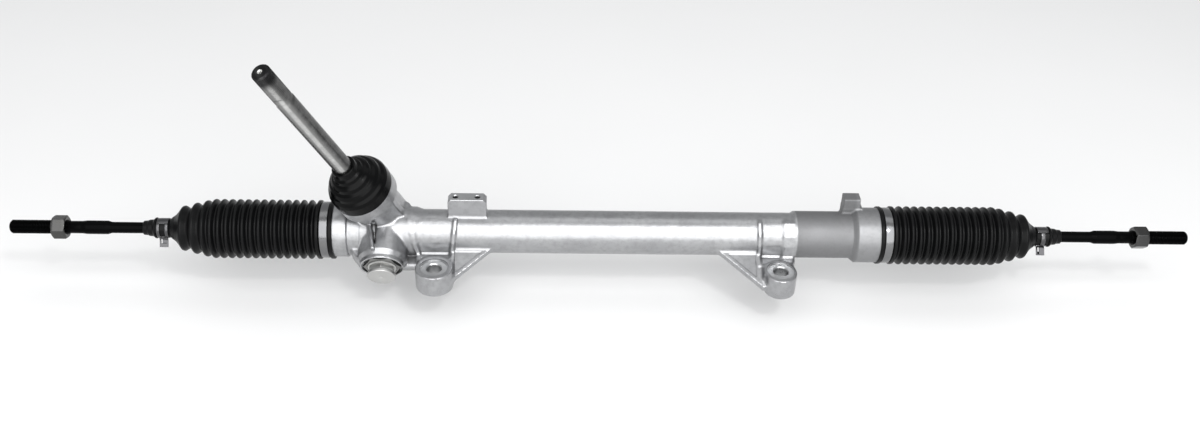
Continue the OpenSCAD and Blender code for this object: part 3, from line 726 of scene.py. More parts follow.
def grid_lines(parts):
    """[(from, to, step)] laid end to end as one list of coordinates."""
    out = []
    for a, b, h in parts:
        n = max(1, int(round((b - a) / h)))
        out += list(a + (b - a) * np.arange(n) / n)
    return np.array(out + [parts[-1][1]])


def cell_table():
    """For every corner pattern of a cell, which of its crossing edges belong to the same sheet."""
    edges = []
    for ax in range(3):
        q = [i for i in range(3) if i != ax]
        for a in (0, 1):
            for b in (0, 1):
                c0 = [0, 0, 0]
                c0[q[0]], c0[q[1]] = a, b
                c1 = list(c0)
                c1[ax] = 1
                edges.append((tuple(c0), tuple(c1)))
    table = np.zeros((256, 12), np.int64)
    for cfg in range(256):
        ins = lambda c: bool(cfg >> (c[0] * 4 + c[1] * 2 + c[2]) & 1)
        crossing = [i for i, (a, b) in enumerate(edges) if ins(a) != ins(b)]
        parent = {i: i for i in crossing}

        def find(i):
            while parent[i] != i:
                i = parent[i]
            return i
        for ax in range(3):
            for side in (0, 1):
                on = [i for i in crossing if edges[i][0][ax] == side and edges[i][1][ax] == side]
                if len(on) == 2:
                    parent[find(on[0])] = find(on[1])
                elif len(on) == 4:
                    for i in on:
                        for j in on:
                            if i < j:
                                common = set(edges[i]) & set(edges[j])
                                if any(ins(c) for c in common):
                                    parent[find(i)] = find(j)
        roots = sorted({find(i) for i in crossing})
        for i in crossing:
            table[cfg, i] = roots.index(find(i))
    return table


def untie(D):
    """Moves single grid points across the surface until no cell face is crossed four times."""
    for _ in range(16):
        S = D < 0
        hits = []
        for ax in range(3):
            q1, q2 = [q for q in range(3) if q != ax]

            def view(a, b):
                s = [slice(None)] * 3
                s[q1] = slice(a, D.shape[q1] - 1 + a)
                s[q2] = slice(b, D.shape[q2] - 1 + b)
                return tuple(s)
            a, b, c, d = S[view(0, 0)], S[view(1, 0)], S[view(0, 1)], S[view(1, 1)]
            at = np.stack(np.nonzero((a == d) & (b == c) & (a != b)), 1)
            if not len(at):
                continue
            four = []
            for u, w in ((0, 0), (1, 0), (0, 1), (1, 1)):
                o = np.zeros(3, int)
                o[q1], o[q2] = u, w
                four.append(at + o)
            four = np.stack(four, 1)
            mag = np.abs(D[four[:, :, 0], four[:, :, 1], four[:, :, 2]])
            hits.append(four[np.arange(len(four)), mag.argmin(1)])
        if not hits:
            break
        i, j, k = np.unique(np.vstack(hits), axis=0).T
        D[i, j, k] = np.where(D[i, j, k] < 0, 0.03, -0.03)


def contour(sdf, X, Y, Z):
    """Dual contouring of sdf on a grid of uneven lines: corners and edges stay sharp."""
    nx, ny, nz = len(X), len(Y), len(Z)
    D = np.zeros((nx, ny, nz), np.float64)
    need = np.zeros((nx, ny, nz), bool)
    B = 6
    ci, cj, ck = (np.arange(0, n - 1, B) for n in (nx, ny, nz))

    def ends(A, s):
        return A[s], A[np.minimum(s + B, len(A) - 1)]
    x0, x1 = ends(X, ci)
    y0, y1 = ends(Y, cj)
    z0, z1 = ends(Z, ck)
    gx, gy, gz = np.meshgrid((x0 + x1) / 2, (y0 + y1) / 2, (z0 + z1) / 2, indexing="ij")
    half = 0.5 * np.sqrt(((x1 - x0)[:, None, None]) ** 2 + ((y1 - y0)[None, :, None]) ** 2 + ((z1 - z0)[None, None, :]) ** 2)
    c = sdf(gx.ravel(), gy.ravel(), gz.ravel()).reshape(gx.shape)
    keep = np.abs(c) < half + 3.5
    for a in range(len(ci)):
        for b in range(len(cj)):
            for e in range(len(ck)):
                q = (slice(ci[a], min(ci[a] + B + 1, nx)), slice(cj[b], min(cj[b] + B + 1, ny)), slice(ck[e], min(ck[e] + B + 1, nz)))
                if keep[a, b, e]:
                    need[q] = True
                else:
                    D[q] = c[a, b, e]
    I, J, K = np.nonzero(need)
    val = np.empty(len(I))
    for q0 in range(0, len(I), 250000):
        q = slice(q0, q0 + 250000)
        val[q] = sdf(X[I[q]], Y[J[q]], Z[K[q]])
    D[I, J, K] = val
    D[D == 0] = 1e-6
    untie(D)
    S = D < 0
    cfg = np.zeros((nx - 1, ny - 1, nz - 1), np.uint8)
    for dx in (0, 1):
        for dy in (0, 1):
            for dz in (0, 1):
                cfg |= (S[dx:nx - 1 + dx, dy:ny - 1 + dy, dz:nz - 1 + dz].astype(np.uint8) << (dx * 4 + dy * 2 + dz)).astype(np.uint8)
    table = cell_table()
    P, N, cells = [], [], []
    for ax in range(3):
        A = [slice(None)] * 3
        Bs = [slice(None)] * 3
        A[ax], Bs[ax] = slice(0, -1), slice(1, None)
        cross = S[tuple(A)] != S[tuple(Bs)]
        i, j, k = np.nonzero(cross)
        idx = [i, j, k]
        ok = np.ones(len(i), bool)
        for q in range(3):
            if q != ax:
                ok &= (idx[q] > 0) & (idx[q] < (nx, ny, nz)[q] - 1)
        i, j, k = i[ok], j[ok], k[ok]
        idx = [i, j, k]
        up = [i.copy(), j.copy(), k.copy()]
        up[ax] = up[ax] + 1
        da, db = D[i, j, k], D[up[0], up[1], up[2]]
        line = (X, Y, Z)[ax]
        la, lb = line[idx[ax]], line[up[ax]]
        p = np.stack([X[i], Y[j], Z[k]], 1)
        p[:, ax] = la + da / (da - db) * (lb - la)
        # one more step towards the surface along the edge
        dv = sdf(p[:, 0], p[:, 1], p[:, 2])
        same = dv * da > 0
        lo, hi = np.where(same, p[:, ax], la), np.where(same, lb, p[:, ax])
        dl, dh = np.where(same, dv, da), np.where(same, db, dv)
        den = dl - dh
        tt = np.where(np.abs(den) > 1e-12, dl / np.where(np.abs(den) > 1e-12, den, 1), 0.5)
        p[:, ax] = lo + np.clip(tt, 0, 1) * (hi - lo)
        e = 0.02
        g = np.empty_like(p)
        for q in range(3):
            o = np.zeros(3)
            o[q] = e
            a2, b2 = p + o, p - o
            g[:, q] = sdf(a2[:, 0], a2[:, 1], a2[:, 2]) - sdf(b2[:, 0], b2[:, 1], b2[:, 2])
        g /= np.maximum(np.linalg.norm(g, axis=1, keepdims=True), 1e-9)
        P.append(p)
        N.append(g)
        q1, q2 = {0: (1, 2), 1: (2, 0), 2: (0, 1)}[ax]
        four = []
        for d1, d2 in ((-1, -1), (0, -1), (0, 0), (-1, 0)):
            cidx = [i.copy(), j.copy(), k.copy()]
            cidx[q1] = cidx[q1] + d1
            cidx[q2] = cidx[q2] + d2
            off = {q1: -d1, q2: -d2}
            oa, ob = [off[q] for q in range(3) if q != ax]
            sheet = table[cfg[cidx[0], cidx[1], cidx[2]], ax * 4 + oa * 2 + ob]
            four.append(((cidx[0] * ny + cidx[1]) * nz + cidx[2]) * 4 + sheet)
        four = np.stack(four, 1)
        flip = da >= 0
        four[flip] = four[flip][:, ::-1]
        cells.append(four)
    P, N, cells = np.vstack(P), np.vstack(N), np.vstack(cells)
    ids, inv = np.unique(cells.ravel(), return_inverse=True)
    inv = inv.reshape(-1, 4)
    n = len(ids)
    cnt = np.bincount(inv.ravel(), minlength=n).astype(float)
    src = np.repeat(np.arange(len(P)), 4)
    fl = inv.ravel()
    mass = np.stack([np.bincount(fl, P[src, q], n) for q in range(3)], 1) / cnt[:, None]
    b = np.einsum("ij,ij->i", N[src], P[src] - mass[fl])
    ATA = np.empty((n, 3, 3))
    ATb = np.empty((n, 3))
    for q in range(3):
        ATb[:, q] = np.bincount(fl, N[src, q] * b, n)
        for w in range(3):
            ATA[:, q, w] = np.bincount(fl, N[src, q] * N[src, w], n)
    ATA[:, [0, 1, 2], [0, 1, 2]] += 0.06
    v = mass + np.linalg.solve(ATA, ATb[:, :, None])[:, :, 0]
    cell = ids // 4
    kk, jj, ii = cell % nz, (cell // nz) % ny, cell // (ny * nz)
    lo = np.stack([X[ii], Y[jj], Z[kk]], 1)
    hi = np.stack([X[ii + 1], Y[jj + 1], Z[kk + 1]], 1)
    pad = 0.1 * (hi - lo)
    return np.clip(v, lo - pad, hi + pad), inv


def cut(ob, tool, solver="MANIFOLD"):
    m = ob.modifiers.new("cut", "BOOLEAN")
    m.operation = "DIFFERENCE"
    m.solver = solver
    m.object = tool
    n0 = len(ob.data.polygons)
    apply_all(ob)
    bpy.data.objects.remove(tool)
    return len(ob.data.polygons) - n0


def build_housing():
    h = 1.0
    X = grid_lines([(-298.5, -276.5, 2.6), (-276.5, -106, h), (-106, 104, 4.0), (104, 196, h), (196, 234, 3.6), (234, 276.5, h * 1.15), (276.5, 298.5, 2.6)])
    Y = grid_lines([(-22.3, 97.7, h)])
    Z = grid_lines([(-14.6, 113.0, h)])
    v, q = contour(casting, X, Y, Z)
    ob = to_object("housing_casting", v, q)
    print("housing skin:", len(v), "points", len(q), "quads")
    rack = side_frame(1)
    tools = [
        lathe("c", [(-300, 0), (-300, 16), (-285, 16), (-285, 13.5), (262, 13.5), (262, 16), (285.4, 16), (285.4, 17.2), (287.4, 17.2), (287.4, 16), (300, 16), (300, 0)], rack, 72),
        lathe("c", [(-15, 0), (-15, 12.6), (20, 12.6), (20, 21), (32.2, 21), (32.2, 22.4), (33.9, 22.4), (33.9, 21), (59.2, 21), (60.6, 22.4), (62, 22.4), (62, 0)], PINION, 72),
        lathe("c", [(-46, 0), (-46, 13.4), (-42.6, 13.4), (-41.2, 12), (-33.5, 12), (-33.5, 9), (-12, 9), (-12, 0)], PINION, 64),
        lathe("c", [(4, 0), (4, 14.5), (38.5, 14.5), (38.5, 20.0), (42.5, 20.0), (43.3, 20.6), (46, 20.6), (46, 0)], YOKE, 96),
    ]
    for sx in (-1, 1):
        fr = frame_of((sx * BX, 0, 0), (1, 0, 0), (0, 1, 0), (0, 0, 1))
        tools.append(lathe("c", [(-3, 0), (-3, 8.6), (-0.3, 8.6), (0.9, 7.25), (20.6, 7.25), (21.7, 8.3), (21.7, 13.0), (22.5, 13.2), (22.5, 14.5), (46.5, 14.5), (46.5, 0)], fr, 72))
    for hx in (-153.5, -131.5):
        fr = frame_of((hx, RY, RZ), (1, 0, 0), (0, 1, 0), (0, 0, 1))
        tools.append(lathe("c", [(26, 0), (26, 2.55), (41.2, 2.55), (42.2, 3.5), (44, 3.5), (44, 0)], fr, 32))
    for t in tools:
        n = cut(ob, t)
        print("cut", n)
    ob.data.calc_loop_triangles()
    thin = ob.modifiers.new("thin", "DECIMATE")
    thin.ratio = min(1.0, 176000 / len(ob.data.loop_triangles))
    apply_all(ob)
    me = ob.data
    n = len(me.polygons)
    c = np.empty(n * 3)
    nn = np.empty(n * 3)
    me.polygons.foreach_get("center", c)
    me.polygons.foreach_get("normal", nn)
    c, nn = c.reshape(-1, 3) / MM, nn.reshape(-1, 3)
    rho = np.hypot(c[:, 1] - RY, c[:, 2] - RZ)
    rel = c - PIN_O
    t = rel @ PIN_W
    pr = np.linalg.norm(rel - np.outer(t, PIN_W), axis=1)
    ry = c - YOKE[0]
    L = ry @ YOKE[3]
    yr = np.linalg.norm(ry - np.outer(L, YOKE[3]), axis=1)
    mach = (rho < 17.4) | ((np.abs(c[:, 0]) > 276.3) & (rho < 24.2)) | ((np.abs(c[:, 0]) > 294.3))
    mach |= (t > 59.7) & (pr < 31.2) | ((t > -10) & (pr < 22.6) & (rho > 17)) | ((t < -8) & (pr < 13.6)) | ((t < -41.7) & (pr < 18.4))
    mach |= ((L > 3) & (yr < 14.7)) | ((L > 38.2) & (yr < 20.8)) | ((L > 42.7) & (yr < 20.9) & (nn @ YOKE[3] > 0.7))
    mach |= (c[:, 2] < 0.25) & (nn[:, 2] < -0.8)
    for sx in (-1, 1):
        rb = np.hypot(c[:, 0] - sx * BX, c[:, 1])
        mach |= (rb < 13.25) & (c[:, 2] < 22.4)
    mach |= (c[:, 2] > 76.6) & (nn[:, 2] > 0.8) & (np.abs(c[:, 0] + 141.75) < 20)
    idx = mach.astype(np.int32)
    ob.data.materials.clear()
    ob.data.materials.append(M["cast"])
    ob.data.materials.append(M["machined"])
    me.polygons.foreach_set("material_index", idx)
    shade(ob, 38)
    print("housing:", len(me.vertices), "points", n, "faces")
    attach(ob, "housing")
    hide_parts("housing")
    return ob


build_housing()

# ------------------------------------------------------------------ pinion shaft and its dust boot

TIP = 259.0
SPL0, SPL1 = TIP - 40.5, TIP - 1.6


def build_shaft():
    src = NODES["pinion_shaft"]
    me = src.data.copy()
    low = bpy.data.objects.new("low", me)
    bpy.context.scene.collection.objects.link(low)
    bm = bmesh.new()
    bm.from_mesh(me)
    bmesh.ops.remove_doubles(bm, verts=bm.verts, dist=1e-6)
    cutp = (PIN_O + PIN_W * 150.0) * MM
    geom = bm.verts[:] + bm.edges[:] + bm.faces[:]
    r = bmesh.ops.bisect_plane(bm, geom=geom, plane_co=cutp, plane_no=PIN_W, clear_outer=True, clear_inner=False, dist=1e-6)
    edges = [g for g in r["geom_cut"] if isinstance(g, bmesh.types.BMEdge)]
    bmesh.ops.holes_fill(bm, edges=edges)
    bm.to_mesh(me)
    bm.free()
    # outer stretch: turned shaft, then the serrations with the clamp bolt's notch
    n = 216
    teeth = 36
    rows = []
    prof = [(150.0, 0), (150.0, 9.3)]
    prof += [(t, 9.3) for t in np.linspace(154, TIP - 45.5, 16)]
    prof += [(TIP - 44.8, 9.26), (TIP - 44.1, 9.02), (TIP - 43.0, 8.62), (TIP - 41.7, 8.48), (TIP - 40.6, 8.5)]
    prof += [(t, 8.9) for t in np.arange(SPL0 + 0.4, SPL1 + 0.01, 0.55)]
    prof += [(TIP - a, r) for a, r in ((1.25, 8.62), (0.85, 8.25), (0.45, 7.8), (0.15, 7.42), (0.0, 7.05), (0.0, 2.3), (0.12, 2.1), (1.9, 1.1), (6.4, 1.0), (6.9, 0))]
    th = np.arange(n) * 2 * np.pi / n
    ph = (th * teeth / (2 * np.pi)) % 1.0
    tri = 1 - np.abs(2 * ph - 1)
    groove = np.clip((tri - 0.25) / 0.5, 0, 1)
    co, rows = [], []
    for t, r in prof:
        if r <= 1e-6:
            rows.append(("p", len(co)))
            co.append(PIN_O + PIN_W * t)
            continue
        rr = np.full(n, float(r))
        if t >= SPL0 and r > 7.9:
            a = min(1.0, (t - SPL0) / 3.0) if t < SPL0 + 3 else 1.0
            rr = r - 0.5 * a * (1 - groove)
        x, y = rr * np.cos(th), rr * np.sin(th)
        dz = t - (TIP - 36.0)
        if abs(dz) < 4.6:
            floor_y = -11.6 + math.sqrt(4.6 ** 2 - dz ** 2)
            y = np.maximum(y, floor_y)
        rows.append(("r", len(co)))
        co += list(PIN_O + np.outer(x, PIN_U) + np.outer(y, PIN_V) + PIN_W * t)
    faces = []
    for (ka, a), (kb, b) in zip(rows[:-1], rows[1:]):
        for j in range(n):
            k = (j + 1) % n
            if ka == "r" and kb == "r":
                faces.append((a + j, a + k, b + k, b + j))
            elif ka == "p":
                faces.append((a, b + k, b + j))
            else:
                faces.append((a + j, a + k, b))
    end = to_object("end", np.array(co), faces)
    outward(end)
    ob = join("input_shaft", [low, end])
    shade(ob, 32)
    finish_piece(ob, M["shaft"], "pinion", ["pinion_shaft"])
    return ob


build_shaft()

BOOT = [(60, 26), (60.03, 31.03), (59.2, 31.05), (59.15, 31.35, 0.15), (60.4, 31.5, 0.5), (69.6, 31.2, 2.4), (72.8, 29.9, 1.6), (75.4, 27.3, 1.4), (79.0, 26.4, 1.6), (82.0, 24.2, 1.3), (83.2, 21.4, 0.9),
        (87.0, 20.4, 1.4), (89.0, 18.2, 1.0), (90.0, 16.0, 0.7), (93.4, 15.0, 1.0), (95.0, 12.6, 0.8), (101.2, 12.1, 0.6), (102.0, 11.4, 0.3), (102.0, 9.4)]
boot = lathe("pinion_boot", fil(BOOT, 6) + [(99.0, 9.4), (97.6, 11.0), (92.8, 11.0), (90.6, 13.2), (88.0, 14.8), (86.6, 18.0), (82.0, 19.0), (80.0, 22.4), (77.4, 24.4), (73.8, 25.2), (71.4, 27.8),
                                            (68.6, 28.8), (61.6, 28.6), (61.6, 26.0)], PINION, 144, loop=True, sharp=50)
finish_piece(boot, M["boot"], "housing", ["pinion_dust_boot"])

# ------------------------------------------------------------------ bellows

def bellows_outline():
    p = [(275.8, 28.9), (276.2, 29.6, 0.5), (279.3, 29.6, 0.6), (280.0, 27.6, 0.3), (288.8, 27.6, 0.3), (289.4, 29.9, 0.9), (292.2, 29.9, 1.0), (294.8, 26.0, 0.8), (296.4, 26.0, 0.8)]
    for k in range(13):
        x = 299.8 + 8 * k
        p += [(x - 1.0, 30.0, 1.7), (x + 1.0, 30.0, 1.7), (x + 3.2, 26.0, 1.0), (x + 4.8, 26.0, 1.0)]
    p = p[:-2]
    p += [(399.0, 26.0, 1.0), (400.6, 25.8, 1.0), (403.2, 28.6, 1.6), (405.2, 28.4, 1.8), (408.6, 23.6, 1.0), (410.4, 23.4, 1.0), (414.2, 26.0, 1.6), (416.2, 25.8, 1.8), (420.2, 20.6, 1.0), (422.0, 20.2, 1.0),
          (426.4, 23.0, 1.6), (428.6, 22.6, 1.8), (432.2, 17.6, 1.2), (435.4, 14.0, 1.5), (439.4, 11.2, 1.2), (441.8, 9.0, 0.6), (454.4, 9.0, 0.2), (454.8, 10.7, 0.5), (456.3, 10.5, 0.7),
          (458.2, 8.6, 1.0), (462.4, 8.3, 0.8), (463.8, 7.5, 0.8), (467.8, 7.2, 0.5), (468.4, 6.6, 0.3)]
    return fil(p, 5)


def inner_radius(x):
    """Inside of the skin, as a function of the distance from the middle."""
    k = [(276.5, 24.03), (289.6, 24.03), (291.6, 27.6), (296.0, 24.4)]
    for i in range(13):
        c = 299.8 + 8 * i
        k += [(c, 28.2), (c + 4.0, 24.4)]
    k = k[:-1] + [(399.8, 24.2), (404.2, 26.7), (409.5, 21.8), (415.2, 24.1), (421.0, 18.6), (427.5, 20.9), (431.6, 16.2), (435.0, 12.4), (438.6, 9.6), (441.4, 5.9), (468.4, 5.75)]
    a = np.array(k)
    return float(np.interp(x, a[:, 0], a[:, 1]))


def build_bellows(side, s):
    out = bellows_outline()
    fr = side_frame(s)
    cuts = [275.8, 409.5, 421.1, 468.4]
    pieces = []
    for i, tag in enumerate("abc"):
        x0, x1 = cuts[i], cuts[i + 1]
        pts = [(x, r) for x, r in out if x0 - 1e-6 <= x <= x1 + 1e-6]
        ox, orr = np.array([p[0] for p in out]), np.array([p[1] for p in out])
        if i > 0:
            pts = [(x0, float(np.interp(x0, ox, orr)))] + [p for p in pts if p[0] > x0 + 1e-4]
        if i < 2:
            pts = [p for p in pts if p[0] < x1 - 1e-4] + [(x1, float(np.interp(x1, ox, orr)))]
        n_in = max(4, int((x1 - x0) / 1.3))
        xin = np.linspace(x1, x0, n_in)
        ins = [(float(x), inner_radius(float(x))) for x in xin]
        ob = lathe(f"{side}_bellows_{tag}", pts + ins, fr, 112, loop=True, sharp=55)
        ob.data.materials.append(M["bellows"])
        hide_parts(f"{side}_bellows")
        pieces.append(ob)
    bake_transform(pieces[0])
    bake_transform(pieces[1])
    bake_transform(pieces[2])


# ------------------------------------------------------------------ clamps

def ring_strip(name, s, x0, x1, r0, r1, n=128, rd=0.3, body=None):
    p = fil([(x0, (r0 + r1) / 2), (x0, r1, rd), ((x0 + x1) / 2, r1), (x1, r1, rd), (x1, r0, rd * 0.6), ((x0 + x1) / 2, r0), (x0, r0, rd * 0.6), (x0, (r0 + r1) / 2 - 0.01)], 3)
    return lathe(name, p, side_frame(s), n, loop=True, sharp=50)


def build_large_clamp(side, s):
    """Stepless ear clamp: a flat band with one crimped ear."""
    band = ring_strip("band", s, 280.5, 288.3, 27.63, 28.55)
    a = math.radians(-118.0)
    e_r = np.array([0, -math.sin(a), math.cos(a)])
    e_t = np.array([0, math.cos(a), math.sin(a)])
    c = np.array([0, RY, RZ])

    def to3(t, r, x):
        return c + e_t * t + e_r * r + np.array([s * x, 0, 0])
    # outline of the crimped ear's bent strip: feet, pinched waist and flattened crown
    mid = [(-5.4, 28.15), (-3.4, 28.5), (-2.2, 28.9), (-1.75, 29.4), (-2.3, 29.9), (-2.6, 30.2), (-1.8, 30.42), (0, 30.44), (1.8, 30.42), (2.6, 30.2), (2.3, 29.9), (1.75, 29.4), (2.2, 28.9), (3.4, 28.5), (5.4, 28.15)]
    m = np.array(mid)
    d = np.gradient(m, axis=0)
    d /= np.linalg.norm(d, axis=1, keepdims=True)
    nrm = np.stack([-d[:, 1], d[:, 0]], 1)
    th = 0.36
    poly = [tuple(p) for p in m + nrm * th] + [tuple(p) for p in (m - nrm * th)[::-1]]
    ear = prism("ear", poly, 281.4, 287.4, to3)
    bevel(ear, 0.12, 1, 40)
    # the tail of the band, ending just past the ear
    arc = np.radians(np.linspace(7, 46, 20))
    tail_out = [(math.sin(q) * 29.0, math.cos(q) * 29.0) for q in arc]
    tail_in = [(math.sin(q) * 28.5, math.cos(q) * 28.5) for q in arc[::-1]]
    tail = prism("tail", tail_out + tail_in, 281.0, 287.8, to3)
    bevel(tail, 0.12, 1, 40)
    ob = join(f"{side}_ear_clamp", [band, ear, tail])
    outward(ob)
    shade(ob, 40)
    finish_piece(ob, M["clamp"], "housing", [f"{side}_large_clamp"])


def build_small_clamp(side, s):
    """Spring band clamp: a fork end and a tongue end that pass each other, both bent out into tangs."""
    xs = [442.5, 445.5, 445.95, 450.45, 450.9, 453.9]
    a0 = math.radians(-35.0)
    down = np.array([0, math.sin(a0), -math.cos(a0)])
    front = np.array([0, -math.cos(a0), -math.sin(a0)])
    c = np.array([0, RY, RZ])
    ph = np.radians(np.arange(0, 361, 3.0)[:-1])
    n = len(ph)
    r_out, r_in = 10.15, 9.05

    def present(j, u):
        p = math.degrees(ph[j]) + 1.5
        if s > 0:
            p = 360 - p
        if 34 < p < 114 and u in (1, 2, 3):
            return False
        if 246 < p < 340 and u != 2:
            return False
        return True
    co, faces, key = [], [], {}

    def vid(j, i, r):
        k = (j % n, i, r)
        if k not in key:
            key[k] = len(co)
            co.append(c + np.array([s * xs[i], 0, 0]) + (down * math.cos(ph[j % n]) + front * math.sin(ph[j % n])) * r)
        return key[k]
    for j in range(n):
        for u in range(5):
            if not present(j, u):
                continue
            faces.append((vid(j, u, r_out), vid(j + 1, u, r_out), vid(j + 1, u + 1, r_out), vid(j, u + 1, r_out)))
            faces.append((vid(j, u, r_in), vid(j, u + 1, r_in), vid(j + 1, u + 1, r_in), vid(j + 1, u, r_in)))
            if not present((j - 1) % n, u):
                faces.append((vid(j, u, r_out), vid(j, u + 1, r_out), vid(j, u + 1, r_in), vid(j, u, r_in)))
            if not present((j + 1) % n, u):
                faces.append((vid(j + 1, u, r_out), vid(j + 1, u, r_in), vid(j + 1, u + 1, r_in), vid(j + 1, u + 1, r_out)))
            if u == 0 or not present(j, u - 1):
                faces.append((vid(j, u, r_out), vid(j, u, r_in), vid(j + 1, u, r_in), vid(j + 1, u, r_out)))
            if u == 4 or not present(j, u + 1):
                faces.append((vid(j, u + 1, r_out), vid(j + 1, u + 1, r_out), vid(j + 1, u + 1, r_in), vid(j, u + 1, r_in)))
    band = to_object("band", np.array(co), faces)
    outward(band)
    bevel(band, 0.18, 2, 40)

    def tang(x0, x1, y_mid, lean, tip, slot=None):
        """A bent-out end as a swept strip in the down/front plane."""
        sg = 1 if s < 0 else -1
        line = [(9.5, 2.6), (10.2, 1.6), (11.2, 0.9), (13.0, 0.55 + lean * 0.3), (15.5, 0.45 + lean * 0.7), (tip, 0.4 + lean)]
        m = np.array([(q[0], y_mid + q[1]) for q in line])
        d = np.gradient(m, axis=0)
        d /= np.linalg.norm(d, axis=1, keepdims=True)
        nr = np.stack([-d[:, 1], d[:, 0]], 1) * 0.55
        A, B = m + nr, m - nr
        co, faces = [], []
        cols = [x0, x1] if slot is None else [x0, slot[0], slot[1], x1]
        for x in cols:
            for P in (A, B):
                for p in P:
                    co.append(c + down * p[0] + front * (p[1] * sg) + np.array([s * x, 0, 0]))
        k = len(line)
        vi = lambda ci, lay, i: (ci * 2 + lay) * k + i
        open_rows = () if slot is None else (2, 3)
        nc = len(cols)
        for ci in range(nc - 1):
            for i in range(k - 1):
                if slot is not None and ci == 1 and i in open_rows:
                    continue
                faces.append((vi(ci, 0, i), vi(ci + 1, 0, i), vi(ci + 1, 0, i + 1), vi(ci, 0, i + 1)))
                faces.append((vi(ci, 1, i), vi(ci, 1, i + 1), vi(ci + 1, 1, i + 1), vi(ci + 1, 1, i)))
            faces.append((vi(ci, 0, 0), vi(ci, 1, 0), vi(ci + 1, 1, 0), vi(ci + 1, 0, 0)))
            faces.append((vi(ci, 0, k - 1), vi(ci + 1, 0, k - 1), vi(ci + 1, 1, k - 1), vi(ci, 1, k - 1)))
        for i in range(k - 1):
            faces.append((vi(0, 0, i), vi(0, 0, i + 1), vi(0, 1, i + 1), vi(0, 1, i)))
            faces.append((vi(nc - 1, 0, i), vi(nc - 1, 1, i), vi(nc - 1, 1, i + 1), vi(nc - 1, 0, i + 1)))
        if slot is not None:
            for i in open_rows:
                faces.append((vi(1, 0, i), vi(1, 1, i), vi(1, 1, i + 1), vi(1, 0, i + 1)))
                faces.append((vi(2, 0, i), vi(2, 0, i + 1), vi(2, 1, i + 1), vi(2, 1, i)))
            i0, i1 = open_rows[0], open_rows[-1] + 1
            faces.append((vi(1, 0, i0), vi(2, 0, i0), vi(2, 1, i0), vi(1, 1, i0)))
            faces.append((vi(1, 0, i1), vi(1, 1, i1), vi(2, 1, i1), vi(2, 0, i1)))
        t = to_object("tang", np.array(co), faces)
        outward(t)
        bevel(t, 0.15, 1, 40)
        return t
    fork = tang(443.9, 452.5, 0.1, 0.0, 19.4, (445.4, 451.0))
    tongue = tang(446.0, 450.4, -2.4, -0.2, 18.4)
    ob = join(f"{side}_spring_clamp", [band, fork, tongue])
    outward(ob)
    shade(ob, 40)
    finish_piece(ob, M["spring_clamp"], f"{side}_boot_end", [f"{side}_small_clamp"])


# ------------------------------------------------------------------ tie rods and nuts

def build_rod(side, s):
    fr = side_frame(s)
    o, u, v, w = fr
    n = 72
    ball = []
    for k in range(0, 25):
        q = math.pi * (1 - k / 28.0)
        ball.append((395 + 13 * math.cos(q), 13 * math.sin(q)))
    ball[0] = (382.0, 0)
    last = [b for b in ball if not (b[0] > 395 and b[1] < 6.0)]
    neck = fil([(last[-1][0], last[-1][1]), (406.6, 6.0, 1.5), (420.8, 6.0, 6.0), (424.0, 5.65, 8.0), (500.4, 5.65, 6.0), (504.2, 6.88, 3.0), (524.8, 6.9, 3.0), (529.6, 6.3, 4.0), (540.9, 6.3, 0.5)], 4)
    body = lathe("body", last + neck[1:] + [(541.6, 6.0), (541.8, 0)], fr, n, sharp=60)
    # M14x1.5 thread as a true helix on the outer end
    p = 1.5
    x = np.arange(541.4, 599.61, p / 8)
    m = 60
    th = np.arange(m) * 2 * np.pi / m
    co, rows = [], []
    rows.append(("p", 0))
    co.append(o + w * 541.2)

    def crest(ph):
        q = np.abs((ph % 1.0) - 0.5) * 2  # 0 on the crest's middle, 1 in the root
        return np.clip((q - 0.12) / 0.66, 0, 1)
    for xi in x:
        ph = xi / p - s * th / (2 * np.pi)
        depth = 0.9 * min(1.0, max(0.0, (xi - 541.4) / 1.2))
        r = 6.98 - depth * crest(ph)
        start = min(1.0, (xi - 541.4) / 0.9)
        r = np.minimum(r, 6.0 + 0.98 * start) if xi < 542.4 else r
        r = np.minimum(r, 7.0 - max(0.0, xi - 598.9) * 1.0)
        rows.append(("r", len(co)))
        co += list(o + np.outer(r * np.cos(th), u) + np.outer(r * np.sin(th), v) + w * xi)
    for t, r in ((600.0, 5.95), (600.5, 5.5), (600.85, 4.9), (601.0, 4.2), (601.0, 2.0), (600.2, 1.4), (599.2, 0)):
        if r == 0:
            rows.append(("p", len(co)))
            co.append(o + w * t)
        else:
            rows.append(("r", len(co)))
            co += list(o + np.outer(r * np.cos(th), u) + np.outer(r * np.sin(th), v) + w * t)
    faces = []
    for (ka, a), (kb, b) in zip(rows[:-1], rows[1:]):
        for j in range(m):
            k = (j + 1) % m
            if ka == "r" and kb == "r":
                faces.append((a + j, a + k, b + k, b + j))
            elif ka == "p":
                faces.append((a, b + k, b + j))
            else:
                faces.append((a + j, a + k, b))
    thr = to_object("thread", np.array(co), faces)
    outward(thr)
    ob = join(f"{side}_rod_forged", [body, thr])
    shade(ob, 42)
    finish_piece(ob, M["rod"], f"{side}_rod", [f"{side}_tie_rod"])


